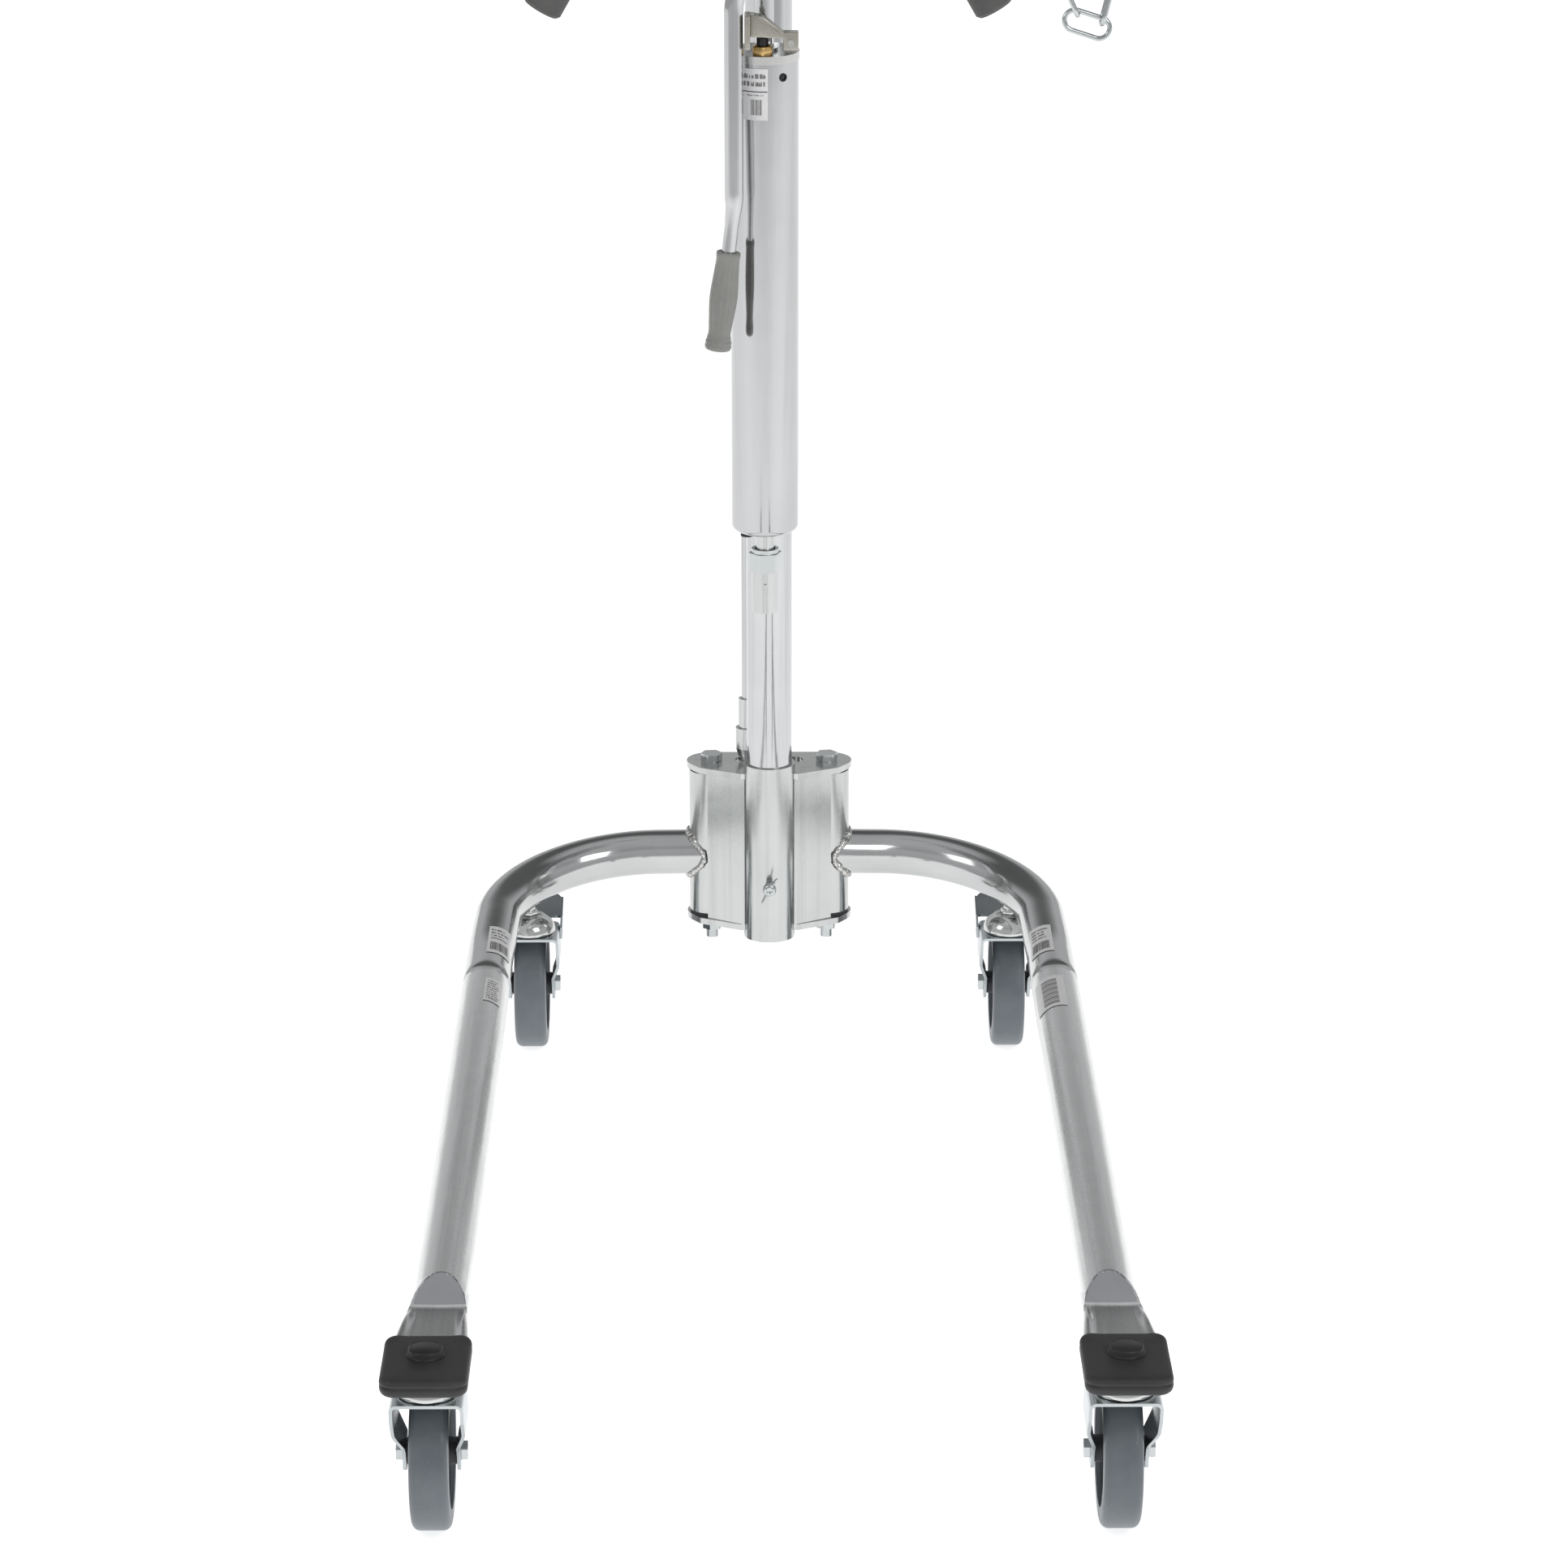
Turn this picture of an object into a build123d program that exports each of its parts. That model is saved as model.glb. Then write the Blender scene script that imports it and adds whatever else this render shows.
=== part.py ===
from build123d import *
import os
from math import atan2, cos, degrees, hypot, radians, sin, sqrt

# Floor patient lift hoist: U-shaped base on four swivel casters, upright mast, hydraulic jack, boom and
# six-point cradle. Millimetres. Origin on the floor at the centre of the bounding box, +Z up, +X to the
# object's left-hand leg's opposite side, and the legs reach forward along -Y.

# ---- driving dimensions -------------------------------------------------------------------------
LEG_TUBE_R = 22.25
TUBE_WALL = 2.5
LEG_X = 268.5
LEG_Z = 165.0
LEG_JOINT_Y = 276.0
NECK_SHOWN = 19.0
CRIMP_Y = -430.0
TONGUE_END_Y = -603.0
TONGUE_X = 272.0
TONGUE_WIDTH = 62.0
TONGUE_THICKNESS = 6.0
TONGUE_Z = 162.0
BEND_RADIUS = 137.0

PIVOT_X = 57.0
PIVOT_Y = 551.0
PIVOT_BOLT_R = 6.0
BOOM_BOLT_R = 8.0
PIVOT_TUBE_LOW = 143.8
PIVOT_TUBE_HIGH = 289.2
BUSH_R = 19.68
PIVOT_BORE_R = 19.75

PLATE_THICKNESS = 6.0
BOTTOM_PLATE_Z = 135.0
TOP_PLATE_Z = 292.0
SOCKET_R = 25.4
SOCKET_LOW = 128.0
SOCKET_HIGH = 307.5
MAST_Y = 513.0
MAST_R = 22.25
MAST_TOP = 1446.0

WHEEL_R = 63.5
WHEEL_WIDTH = 31.4
CASTER_TRAIL = 40.0
CROWN_TOP = 134.0
FRONT_STEM = (274.0, -549.0)
REAR_STEM = (238.0, 508.0)
AXLE_R = 5.0
PEDAL_HINGE = (20.0, 125.0)

LEVER_X = -22.0
LEVER_PIVOT_Z = 178.0
LEVER_PIN_Z = 191.0

JACK_BASE = (-4.0, 458.0, 524.0)
PUMP_R = 31.75
PUMP_LOW = 37.0
PUMP_HIGH = 492.5
CAP_TOP = 500.0
RAM_R = 8.5
BOOM_PIVOT_Z = 1455.0
RAM_ARM = 112.0
RAM_PIN_R = 4.5
RAM_SLOT_TRAVEL = 10.7
JACK_LEAN = degrees(atan2(JACK_BASE[1] - MAST_Y + RAM_ARM - RAM_SLOT_TRAVEL, BOOM_PIVOT_Z - JACK_BASE[2]))

YOKE_PIVOT = (20.0, 1034.5)
YOKE_FRONT_Y = 402.5
YOKE_DEPTH = 17.5
HANDLE_X = -32.5
HANDLE_Y = 397.0
HANDLE_BEND_Z = 886.0
GRIP_RUN = (12.0, 104.0)

BOOM_Z = 1510.0
BOOM_END_Y = -322.0
CRADLE_Y = -287.0
HANGER_PIN_Z = 1474.0
CRADLE_BAR_Z = 1420.0
HOOK_X = 242.0
HOOK_LOW_Z = 1381.0
HOOK_ROD_R = 4.0
HOOK_BEND_R = 14.0

PUSH_BAR_Y = 566.0
PUSH_BAR_Z = 1215.0
GRIP_END = (215.0, 1039.0)
GRIP_TILT = 30.0
GRIP_LENGTH = 120.0

LINK_LENGTH = 40.0
LINK_WIDTH = 20.0
LINK_WIRE_R = 2.0
LINK_PITCH = 31.65
CHAIN_LINKS = 7
BOTTOM_LINK_Z = 1166.0
BOTTOM_LINK_TILT = 18.0
GAP = 0.15

UP = (Align.CENTER, Align.CENTER, Align.MIN)
DOWN = (Align.CENTER, Align.CENTER, Align.MAX)


# ---- helpers ------------------------------------------------------------------------------------
def rod(radius, low, high, x=0.0, y=0.0):
    """Upright cylinder between two heights."""
    return Pos(x, y, low) * Cylinder(radius, high - low, align=UP)


def rod_x(radius, x0, x1, y, z):
    """Cylinder along X between two X positions."""
    return Pos(x0, y, z) * Rot(0, 90, 0) * Cylinder(radius, x1 - x0, align=UP)


def rod_y(radius, y0, y1, x, z):
    """Cylinder along Y between two Y positions."""
    return Pos(x, y0, z) * Rot(-90, 0, 0) * Cylinder(radius, y1 - y0, align=UP)


def block(x, y, z):
    """Box from three (low, high) pairs."""
    size = (x[1] - x[0], y[1] - y[0], z[1] - z[0])
    return Pos(x[0], y[0], z[0]) * Box(*size, align=(Align.MIN, Align.MIN, Align.MIN))


def hexagon(across_flats, low, high, x=0.0, y=0.0, turn=0.0):
    """Hexagonal prism standing on Z, with lightly broken corners."""
    prism = extrude(RegularPolygon(across_flats / sqrt(3), 6), high - low)
    cone = Cylinder(across_flats / sqrt(3) * 0.97, high - low, align=UP)
    return Pos(x, y, low) * Rot(0, 0, turn) * (prism & cone)


def turned(points):
    """Solid of revolution about Z from (radius, height) points."""
    profile = make_face(Polyline(*[(r, 0, z) for r, z in points], close=True))
    return revolve(profile, Axis.Z)


def pipe(points, radii, radius, bore=0.0):
    """Round bar or tube along straight runs joined by tangent arcs."""
    path = FilletPolyline(*points, radius=radii) if len(points) > 2 else Polyline(*points)
    section = Circle(radius) - Circle(bore) if bore else Circle(radius)
    start = path @ 0
    plane = Plane(origin=start, z_dir=path % 0)
    return sweep(plane * section, path=path)


def left(shape):
    """Mirror image on the other side of the hoist."""
    return mirror(shape, about=Plane.YZ)


def group(*shapes):
    """Separate solids kept in one node."""
    solids = []
    for shape in shapes:
        solids.extend(shape.solids())
    return Compound(children=solids)


# ---- base ---------------------------------------------------------------------------------------
def plate_outline():
    """Rounded ends round the pivot bolts, straight rear edge, front edges slanting to the mast socket."""
    edges = []
    for side in (-1, 1):
        edges += (Pos(side * PIVOT_X, PIVOT_Y) * Circle(24.5)).edges()
        edges += (Pos(side * 64.5, 529) * Circle(6)).edges()
        edges += (Pos(side * 27.5, 508.5) * Circle(4)).edges()
    return make_hull(edges)


def base_plate(low):
    plate = Pos(0, 0, low) * extrude(plate_outline(), PLATE_THICKNESS)
    plate -= rod(SOCKET_R + GAP, low - 1, low + 10, y=MAST_Y)
    for side in (-1, 1):
        plate -= rod(PIVOT_BOLT_R + 0.1, low - 1, low + 10, side * PIVOT_X, PIVOT_Y)
    return plate


def base_top_plate():
    """Top plate with the long slot that the spreader lever travels in."""
    slot = Pos(0, PIVOT_Y, TOP_PLATE_Z - 1) * extrude(SlotOverall(67, 19), 10)
    return base_plate(TOP_PLATE_Z) - slot


def base_front_panels():
    """Two flat plates between the pivot tubes and the socket."""
    low = BOTTOM_PLATE_Z + PLATE_THICKNESS
    far, near = (61.0, 523.2), (24.5, 503.4)
    angle = degrees(atan2(far[1] - near[1], far[0] - near[0]))
    length = hypot(far[0] - near[0], far[1] - near[1])
    panel = Box(length, 3, TOP_PLATE_Z - low, align=(Align.MIN, Align.MIN, Align.MIN))
    panel = Pos(near[0], near[1], low) * Rot(0, 0, angle) * panel
    panel -= rod(SOCKET_R + GAP, low - 1, TOP_PLATE_Z + 1, y=MAST_Y)
    return group(panel, left(panel))


def mast_socket():
    """Socket tube for the mast, with the lug of the spreader lever and the screw hole."""
    socket = rod(SOCKET_R, SOCKET_LOW, SOCKET_HIGH, y=MAST_Y)
    lug = block((-31, 2), (526, 541.3), (169, 187))
    socket = socket + lug - rod(MAST_R + 0.3, SOCKET_LOW - 1, SOCKET_HIGH + 1, y=MAST_Y)
    socket -= rod_y(4.2, 470, 500, 0, 188)
    return socket - rod_y(5.1, 520, 545, LEVER_X, LEVER_PIVOT_Z)


def pivot_bushes():
    """Four flanged bushes, one in each end of each pivot tube."""
    bore = PIVOT_BOLT_R + 0.08
    bush = turned([(bore, 0), (21.5, 0), (21.5, 2.4), (BUSH_R, 2.4), (BUSH_R, 27), (bore, 27)])
    low = BOTTOM_PLATE_Z + PLATE_THICKNESS
    bushes = []
    for side in (-1, 1):
        bushes.append(Pos(side * PIVOT_X, PIVOT_Y, low) * bush)
        bushes.append(Pos(side * PIVOT_X, PIVOT_Y, TOP_PLATE_Z) * Rot(180, 0, 0) * bush)
    return group(*bushes)


def frame_fasteners():
    """Pivot bolts with flanged nuts, boom pivot bolt and spreader lever bolt."""
    parts = []
    for side in (-1, 1):
        x = side * PIVOT_X
        top = TOP_PLATE_Z + PLATE_THICKNESS
        bolt = rod(PIVOT_BOLT_R, 113, top + 1, x, PIVOT_Y)
        bolt += hexagon(19, top + 1, top + 7, x, PIVOT_Y, 8) + rod(10.6, top, top + 1, x, PIVOT_Y)
        nut = hexagon(18, 122, 132.5, x, PIVOT_Y, 20) + rod(11, 132.5, 134.9, x, PIVOT_Y)
        parts += [bolt, nut - rod(PIVOT_BOLT_R + 0.1, 110, 136, x, PIVOT_Y)]
    boom_bolt = rod_x(BOOM_BOLT_R, -35, 38, MAST_Y, BOOM_PIVOT_Z)
    head = Pos(-35, MAST_Y, BOOM_PIVOT_Z) * Rot(0, 90, 0) * hexagon(24, -1, 6.3)
    boom_nut = Pos(27.9, MAST_Y, BOOM_PIVOT_Z) * Rot(0, 90, 0) * hexagon(24, 0, 8)
    boom_nut -= rod_x(BOOM_BOLT_R + 0.1, 20, 45, MAST_Y, BOOM_PIVOT_Z)
    lever_bolt = rod_y(5.0, 536, 560.5, LEVER_X, LEVER_PIVOT_Z)
    lever_bolt += Pos(LEVER_X, 559.6, LEVER_PIVOT_Z) * Rot(-90, 0, 0) * hexagon(13, 0, 5)
    return group(*parts, boom_bolt + head, boom_nut, lever_bolt, union_nut())


def mast():
    return rod(MAST_R, 130, MAST_TOP, y=MAST_Y) - rod(MAST_R - TUBE_WALL, 120, MAST_TOP + 10, y=MAST_Y) \
        - rod_x(15.2, -40, 40, MAST_Y, BOOM_PIVOT_Z)


def mast_head():
    """Cross tube on the mast's coped top, where the boom pivots."""
    return rod_x(15.0, -22.4, 22.4, MAST_Y, BOOM_PIVOT_Z) \
        - rod_x(BOOM_BOLT_R + 0.06, -30, 30, MAST_Y, BOOM_PIVOT_Z)


def jack_mount():
    """Sleeve that seats the jack's ball end, welded to the mast by a web."""
    x, y, z = JACK_BASE
    sleeve = rod(12.7, z - 45, z - 5.2, x, y)
    web = block((x - 5, x + 5), (y + 8, MAST_Y), (z - 41, z - 9))
    mount = sleeve + web - rod(MAST_R + GAP, 400, 600, y=MAST_Y)
    return mount - rod(10.4, z - 12, z, x, y) - rod_y(1.6, y - 14, y - 11, x, z - 15)


def union_nut():
    """Union nut that keeps the ball end in the sleeve."""
    x, y, z = JACK_BASE
    nut = hexagon(28, z - 5, z + 13, x, y, 10) + rod(13, z + 13, z + 17, x, y)
    return nut - rod(10.4, z - 10, z + 9, x, y) - rod(10.0, z + 8, z + 20, x, y)


def push_grip_axis():
    """Unit direction from a grip's end up towards the bar, on the right side, in the X-Z plane."""
    return -sin(radians(GRIP_TILT)), cos(radians(GRIP_TILT))


def push_bar_corner():
    ux, uz = push_grip_axis()
    run = (PUSH_BAR_Z - GRIP_END[1]) / uz
    return GRIP_END[0] + ux * run


def push_handle_bar():
    """One bent tube clamped behind the mast."""
    ux, uz = push_grip_axis()
    x_end, z_end = GRIP_END[0] + ux * 6, GRIP_END[1] + uz * 6
    corner = push_bar_corner()
    points = [
        (-x_end, PUSH_BAR_Y, z_end),
        (-corner, PUSH_BAR_Y, PUSH_BAR_Z),
        (corner, PUSH_BAR_Y, PUSH_BAR_Z),
        (x_end, PUSH_BAR_Y, z_end),
    ]
    return pipe(points, 60, 12.5, 10.5)


def push_grips():
    """Two rubber grips with a rounded closed end and a collar."""
    profile = make_face(
        Polyline((0, 0, 0), (17, 0, 0), (19.5, 0, 3), (19.5, 0, 110), (21, 0, 112), (21, 0, 120), (0, 0, 120),
                 close=True)
    )
    grip = revolve(profile, Axis.Z) - rod(12.65, 5, 130)
    grip = Pos(GRIP_END[0], PUSH_BAR_Y, GRIP_END[1]) * Rot(0, -GRIP_TILT, 0) * grip
    return group(grip, left(grip))


def handle_clamp():
    """Collar round the mast with a saddle that holds the push bar."""
    clamp = rod(29, 1196, 1234, y=MAST_Y) + block((-20, 20), (MAST_Y, PUSH_BAR_Y), (1199, 1231))
    clamp += rod_x(17.5, -20, 20, PUSH_BAR_Y, PUSH_BAR_Z)
    clamp -= rod(MAST_R + GAP, 1190, 1240, y=MAST_Y)
    return clamp - rod_x(12.5 + GAP, -30, 30, PUSH_BAR_Y, PUSH_BAR_Z)


# ---- legs, modelled on the right and mirrored ------------------------------------------------------
def pivot_tube():
    tube = rod(LEG_TUBE_R, PIVOT_TUBE_LOW, PIVOT_TUBE_HIGH, PIVOT_X, PIVOT_Y)
    return tube - rod(PIVOT_BORE_R, 100, 320, PIVOT_X, PIVOT_Y)


def link_arm(low, high):
    """Flat arm from a right-hand pivot tube to the centre, where the two legs are linked."""
    tip = (0.0, PIVOT_Y + 14)
    length = hypot(PIVOT_X, 14)
    angle = degrees(atan2(14, -PIVOT_X))
    arm = Pos(19.9, 0) * Rectangle(length - 15.4, 14.8, align=(Align.MIN, Align.CENTER))
    arm += Pos(length + 4.5, 0) * Circle(7.4)
    arm = Pos(PIVOT_X, PIVOT_Y, low) * Rot(0, 0, angle) * extrude(arm, high - low)
    return arm, tip


def right_pivot_tube():
    """Right pivot tube with its slotted link arm."""
    arm, tip = link_arm(153.5, 158.5)
    slot = Rot(0, 0, degrees(atan2(14, -PIVOT_X))) * SlotCenterToCenter(9, 7.4)
    slot = Pos(tip[0], tip[1], 150) * extrude(slot, 20)
    body = pivot_tube() + arm - slot
    return body - rod(PIVOT_BORE_R, 100, 320, PIVOT_X, PIVOT_Y)


def left_pivot_tube():
    """Left pivot tube with the link pin and the slotted plate that the spreader lever moves."""
    arm, tip = link_arm(147, 152)
    body = pivot_tube() + arm + rod(3, 149, 161, tip[0], tip[1])
    body = left(body)
    body += block((-50, -13), (570, 574), (186.5, 206))
    body -= block((LEVER_X - 4.8, LEVER_X + 4.8), (565, 580), (180, LEVER_PIN_Z + 3.7))
    return body - rod(PIVOT_BORE_R, 100, 320, -PIVOT_X, PIVOT_Y)


def leg_bend():
    """Bent tube welded to the pivot tube, swaged down where it enters the straight tube."""
    points = [
        (PIVOT_X, PIVOT_Y, 202),
        (259, 580, 190),
        (LEG_X, 345, LEG_Z),
        (LEG_X, LEG_JOINT_Y, LEG_Z),
    ]
    bend = pipe(points, [BEND_RADIUS, 300], LEG_TUBE_R, LEG_TUBE_R - TUBE_WALL)
    neck = turned([(18, 0), (LEG_TUBE_R, 0), (21.4, 3), (20.6, 8), (20.6, 60), (18, 60)])
    neck = Pos(LEG_X, LEG_JOINT_Y, LEG_Z) * Rot(90, 0, 0) * neck
    bend = bend + neck
    bend -= rod(LEG_TUBE_R + GAP, 100, 300, PIVOT_X, PIVOT_Y)
    stem_x, stem_y = REAR_STEM
    return bend - rod(6.2, 150, 188, stem_x, stem_y)


def leg_tube():
    """Straight tube, crimped at the front into a flat tongue for the caster stem."""
    tube = rod_y(22.5, CRIMP_Y, LEG_JOINT_Y - NECK_SHOWN, LEG_X, LEG_Z)
    tube -= rod_y(20.75, CRIMP_Y + 12, LEG_JOINT_Y, LEG_X, LEG_Z)
    sections = [
        Plane(origin=(LEG_X, CRIMP_Y, LEG_Z), x_dir=(1, 0, 0), z_dir=(0, -1, 0)) * Circle(22.5),
        Plane(origin=(LEG_X + 1, CRIMP_Y - 36, LEG_Z - 3), x_dir=(1, 0, 0), z_dir=(0, -1, 0)) * Ellipse(24, 10.5),
        Plane(origin=(TONGUE_X, CRIMP_Y - 86, TONGUE_Z), x_dir=(1, 0, 0), z_dir=(0, -1, 0)) * Ellipse(29, 4.2),
    ]
    crimp = loft(sections)
    tongue = RectangleRounded(TONGUE_WIDTH, CRIMP_Y - 66 - TONGUE_END_Y, 12)
    tongue = extrude(tongue, TONGUE_THICKNESS)
    tongue_y = (CRIMP_Y - 66 + TONGUE_END_Y) / 2
    tongue = Pos(TONGUE_X, tongue_y, TONGUE_Z - TONGUE_THICKNESS / 2) * tongue
    return tube + crimp + tongue - rod(6.2, 150, 175, *FRONT_STEM)


def tip_pad():
    """Rubber boot over the front end of the tongue, with a round cap over the caster stem."""
    x, y = FRONT_STEM
    boot = extrude(RectangleRounded(69, 89.5, 13), 15)
    boot = Pos(273.5, -566.75, 156) * fillet(boot.edges().filter_by(Plane.XY), 5.5)
    boot += rod(13.6, 170, 177.5, x, y)
    cavity = extrude(RectangleRounded(TONGUE_WIDTH + 0.4, 90, 12), TONGUE_THICKNESS + 0.4)
    boot -= Pos(TONGUE_X, -558.2, TONGUE_Z - TONGUE_THICKNESS / 2 - 0.2) * cavity
    return boot - rod(11, 150, 160, x, y) - rod(6.6, 150, 173, x, y)


def caster_stem(x, y, top):
    """Kingpin, domed ball race, nut and stem that stay still while the fork swivels."""
    race = turned([
        (0, 126.6), (8.5, 126.6), (8.5, 130.6), (5.95, 130.8), (5.95, CROWN_TOP + 0.4), (25.5, CROWN_TOP + 0.4),
        (25.8, CROWN_TOP + 3.5), (24.2, CROWN_TOP + 8.5), (20.5, CROWN_TOP + 13), (15.5, CROWN_TOP + 16.5),
        (12.2, CROWN_TOP + 17.5), (11.4, CROWN_TOP + 15.5), (0, CROWN_TOP + 15.5),
    ])
    stem = Pos(x, y, 0) * (race + hexagon(16, CROWN_TOP + 15, CROWN_TOP + 22.5, turn=12))
    return stem + rod(6, CROWN_TOP + 20, top, x, y)


def caster_stems():
    """Front stem through the tongue and rear stem up into the bend."""
    return group(caster_stem(*FRONT_STEM, 172.5), caster_stem(*REAR_STEM, 186))


# ---- casters ------------------------------------------------------------------------------------
def caster_fork(x, y, braked):
    """Pressed fork: wide shoulders, legs drawn in to the hub and swept back to the axle."""
    half = [(27.9, 132.6), (27.9, 98), (21.7, 76), (21.7, 49)]
    outline = [(-a, z) for a, z in reversed(half)] + half
    band = trace(FilletPolyline(*outline, radius=[9, 12, 5, 5, 12, 9]), 2.8)
    band = extrude(Plane.XZ * band, 70, both=True)
    side = make_face(FilletPolyline(
        (-28, 137), (28, 137), (33, 118), (53.5, 72), (53.5, 49.5), (26.5, 49.5), (26.5, 66), (-2, 92), (-22, 116),
        radius=[4, 10, 12, 10, 10, 8, 26, 10, 4], close=True,
    ))
    side = extrude(Plane.YZ * side, 40, both=True)
    fork = (band & side) - rod(6.0, 120, 140)
    fork -= rod_x(AXLE_R + 0.1, -40, 40, CASTER_TRAIL, WHEEL_R)
    if braked:
        fork -= rod_x(3.06, -40, 40, *PEDAL_HINGE)
    return Pos(x, y, 0) * fork


def caster_axle(x, y, outward):
    """Axle bolt with its head outwards and a nut on the other side."""
    bolt = Cylinder(AXLE_R, 57, align=Align.CENTER)
    bolt += Pos(0, 0, 23.2) * hexagon(15, 0, 5.2)
    nut = Pos(0, 0, -29.0) * hexagon(15, 0, 5.8) - Cylinder(AXLE_R + 0.1, 80, align=Align.CENTER)
    turn = 90 * outward
    place = Pos(x, y + CASTER_TRAIL, WHEEL_R) * Rot(0, turn, 0)
    return group(place * bolt, place * nut)


def wheel_hub(x, y):
    """Moulded core with a long boss, a thin web and a rim."""
    core = turned([
        (AXLE_R + 0.06, -19.9), (11, -19.9), (12, -5), (42, -4), (43.5, -12.5), (46.95, -12.5),
        (46.95, 12.5), (43.5, 12.5), (42, 4), (12, 5), (11, 19.9), (AXLE_R + 0.06, 19.9),
    ])
    return Pos(x, y + CASTER_TRAIL, WHEEL_R) * Rot(0, 90, 0) * core


def wheel_tyre(x, y):
    """Soft tread ring with rounded shoulders."""
    half = WHEEL_WIDTH / 2
    profile = Pos((WHEEL_R + 47) / 2, 0) * Rectangle(WHEEL_R - 47, 2 * half)
    outer = profile.vertices().sort_by(Axis.X)[-2:]
    profile = fillet(outer, 6.5)
    tyre = revolve(Plane.XZ * profile, Axis.Z)
    return Pos(x, y + CASTER_TRAIL, WHEEL_R) * Rot(0, 90, 0) * tyre


def brake_pedal(x, y):
    """Foot brake: sloping tread plate with two cheeks pinned to the rear of the fork."""
    tread = Box(60.6, 38, 2.5, align=(Align.CENTER, Align.MIN, Align.MIN))
    tread = Pos(0, 31, 136.2) * Rot(19, 0, 0) * fillet(tread.edges().filter_by(Axis.Z).sort_by(Axis.Y)[-2:], 12)
    cheek = make_face(Polyline((14, 120), (26, 117), (64, 144), (62, 147.5), (31, 138.2), (15, 131), close=True))
    cheeks = []
    for side in (-1, 1):
        plate = Pos(side * 30.65, 0, 0) * extrude(Plane.YZ * cheek, 1.0, both=True)
        cheeks.append(plate + rod_x(3, side * 29 - 2.9, side * 29 + 2.9, *PEDAL_HINGE))
    return Pos(x, y, 0) * (tread + cheeks[0] + cheeks[1])


# ---- controls on the base and mast -----------------------------------------------------------------
def spreader_lever():
    """Stepped lever that opens the legs, pivoting on the socket's lug."""
    lever = rod_y(9, 543.2, 558.8, LEVER_X, LEVER_PIVOT_Z) + rod(7, LEVER_PIVOT_Z, 304, LEVER_X, PIVOT_Y)
    sleeve = turned([(0, 303), (8.6, 303), (11, 311), (11, 332), (8, 332), (8, 362), (0, 362)])
    lever += Pos(LEVER_X, PIVOT_Y, 0) * sleeve
    lever += rod(5, 361, 884, LEVER_X, PIVOT_Y)
    lever += rod_y(3, PIVOT_Y, 577, LEVER_X, LEVER_PIN_Z)
    return lever - rod_y(5.06, 530, 570, LEVER_X, LEVER_PIVOT_Z)


def lever_knob():
    """Ball knob on the lever's upper end."""
    knob = Pos(LEVER_X, PIVOT_Y, 890) * Sphere(15) + rod(8, 872, 884, LEVER_X, PIVOT_Y)
    return knob - rod(5.05, 860, 884.2, LEVER_X, PIVOT_Y)


def wing_screw():
    """Wing screw that locks the mast in its socket."""
    screw = rod_y(4.1, 474, 490.4, 0, 188) + rod_y(6.5, 470.5, 476, 0, 188)
    wing = fillet(Box(10.5, 2.6, 8).edges().filter_by(Axis.Y), 3)
    for side in (-1, 1):
        wing_up = Pos(side * 9.5, 474, 0) * wing
        screw += Pos(0, 0, 188) * Rot(0, -60, 0) * wing_up
    return screw


# ---- boom and cradle ---------------------------------------------------------------------------------
def boom_tube():
    points = [(0, MAST_Y + 34, BOOM_Z), (0, BOOM_END_Y, BOOM_Z)]
    return pipe(points, 0, LEG_TUBE_R, LEG_TUBE_R - TUBE_WALL)


def boom_bracket():
    """Channel under the boom: pivots on the mast head and carries the ram's pin."""
    side = make_face(Polyline(
        (MAST_Y + 20, 1436), (MAST_Y + 20, BOOM_Z - 8), (MAST_Y - 158, BOOM_Z - 8), (MAST_Y - 133, 1438),
        close=True,
    ))
    side = extrude(Plane.YZ * fillet(side.vertices(), 9), 2.0, both=True)
    web = block((-24, 24), (MAST_Y - 124, MAST_Y - 74), (BOOM_Z - 26.6, BOOM_Z - 22.4))
    bracket = Pos(25.6, 0, 0) * side + Pos(-25.6, 0, 0) * side + web
    bracket -= rod_x(BOOM_BOLT_R + 0.06, -40, 40, MAST_Y, BOOM_PIVOT_Z)
    bracket -= rod_x(RAM_PIN_R + 0.1, -40, 40, MAST_Y - RAM_ARM, BOOM_PIVOT_Z)
    return bracket - rod_y(LEG_TUBE_R + GAP, BOOM_END_Y - 9, MAST_Y + 99, 0, BOOM_Z)


def ram_pin():
    """Pin through the channel and the ram's slotted eye, with end washers."""
    y = MAST_Y - RAM_ARM
    pin = rod_x(RAM_PIN_R, -32, 32, y, BOOM_PIVOT_Z)
    return pin + rod_x(9, -31, -27.8, y, BOOM_PIVOT_Z) + rod_x(9, 27.8, 31, y, BOOM_PIVOT_Z)


def boom_end_lug():
    """Lug welded under the boom's end, where the cradle's hanger is pinned."""
    lug = block((-5, 5), (CRADLE_Y - 15, CRADLE_Y + 15), (HANGER_PIN_Z, BOOM_Z - 10))
    lug += rod_x(12, -5, 5, CRADLE_Y, HANGER_PIN_Z)
    lug -= rod_y(LEG_TUBE_R + GAP, BOOM_END_Y - 9, 0, 0, BOOM_Z)
    return lug - rod_x(6.07, -10, 10, CRADLE_Y, HANGER_PIN_Z)


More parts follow.
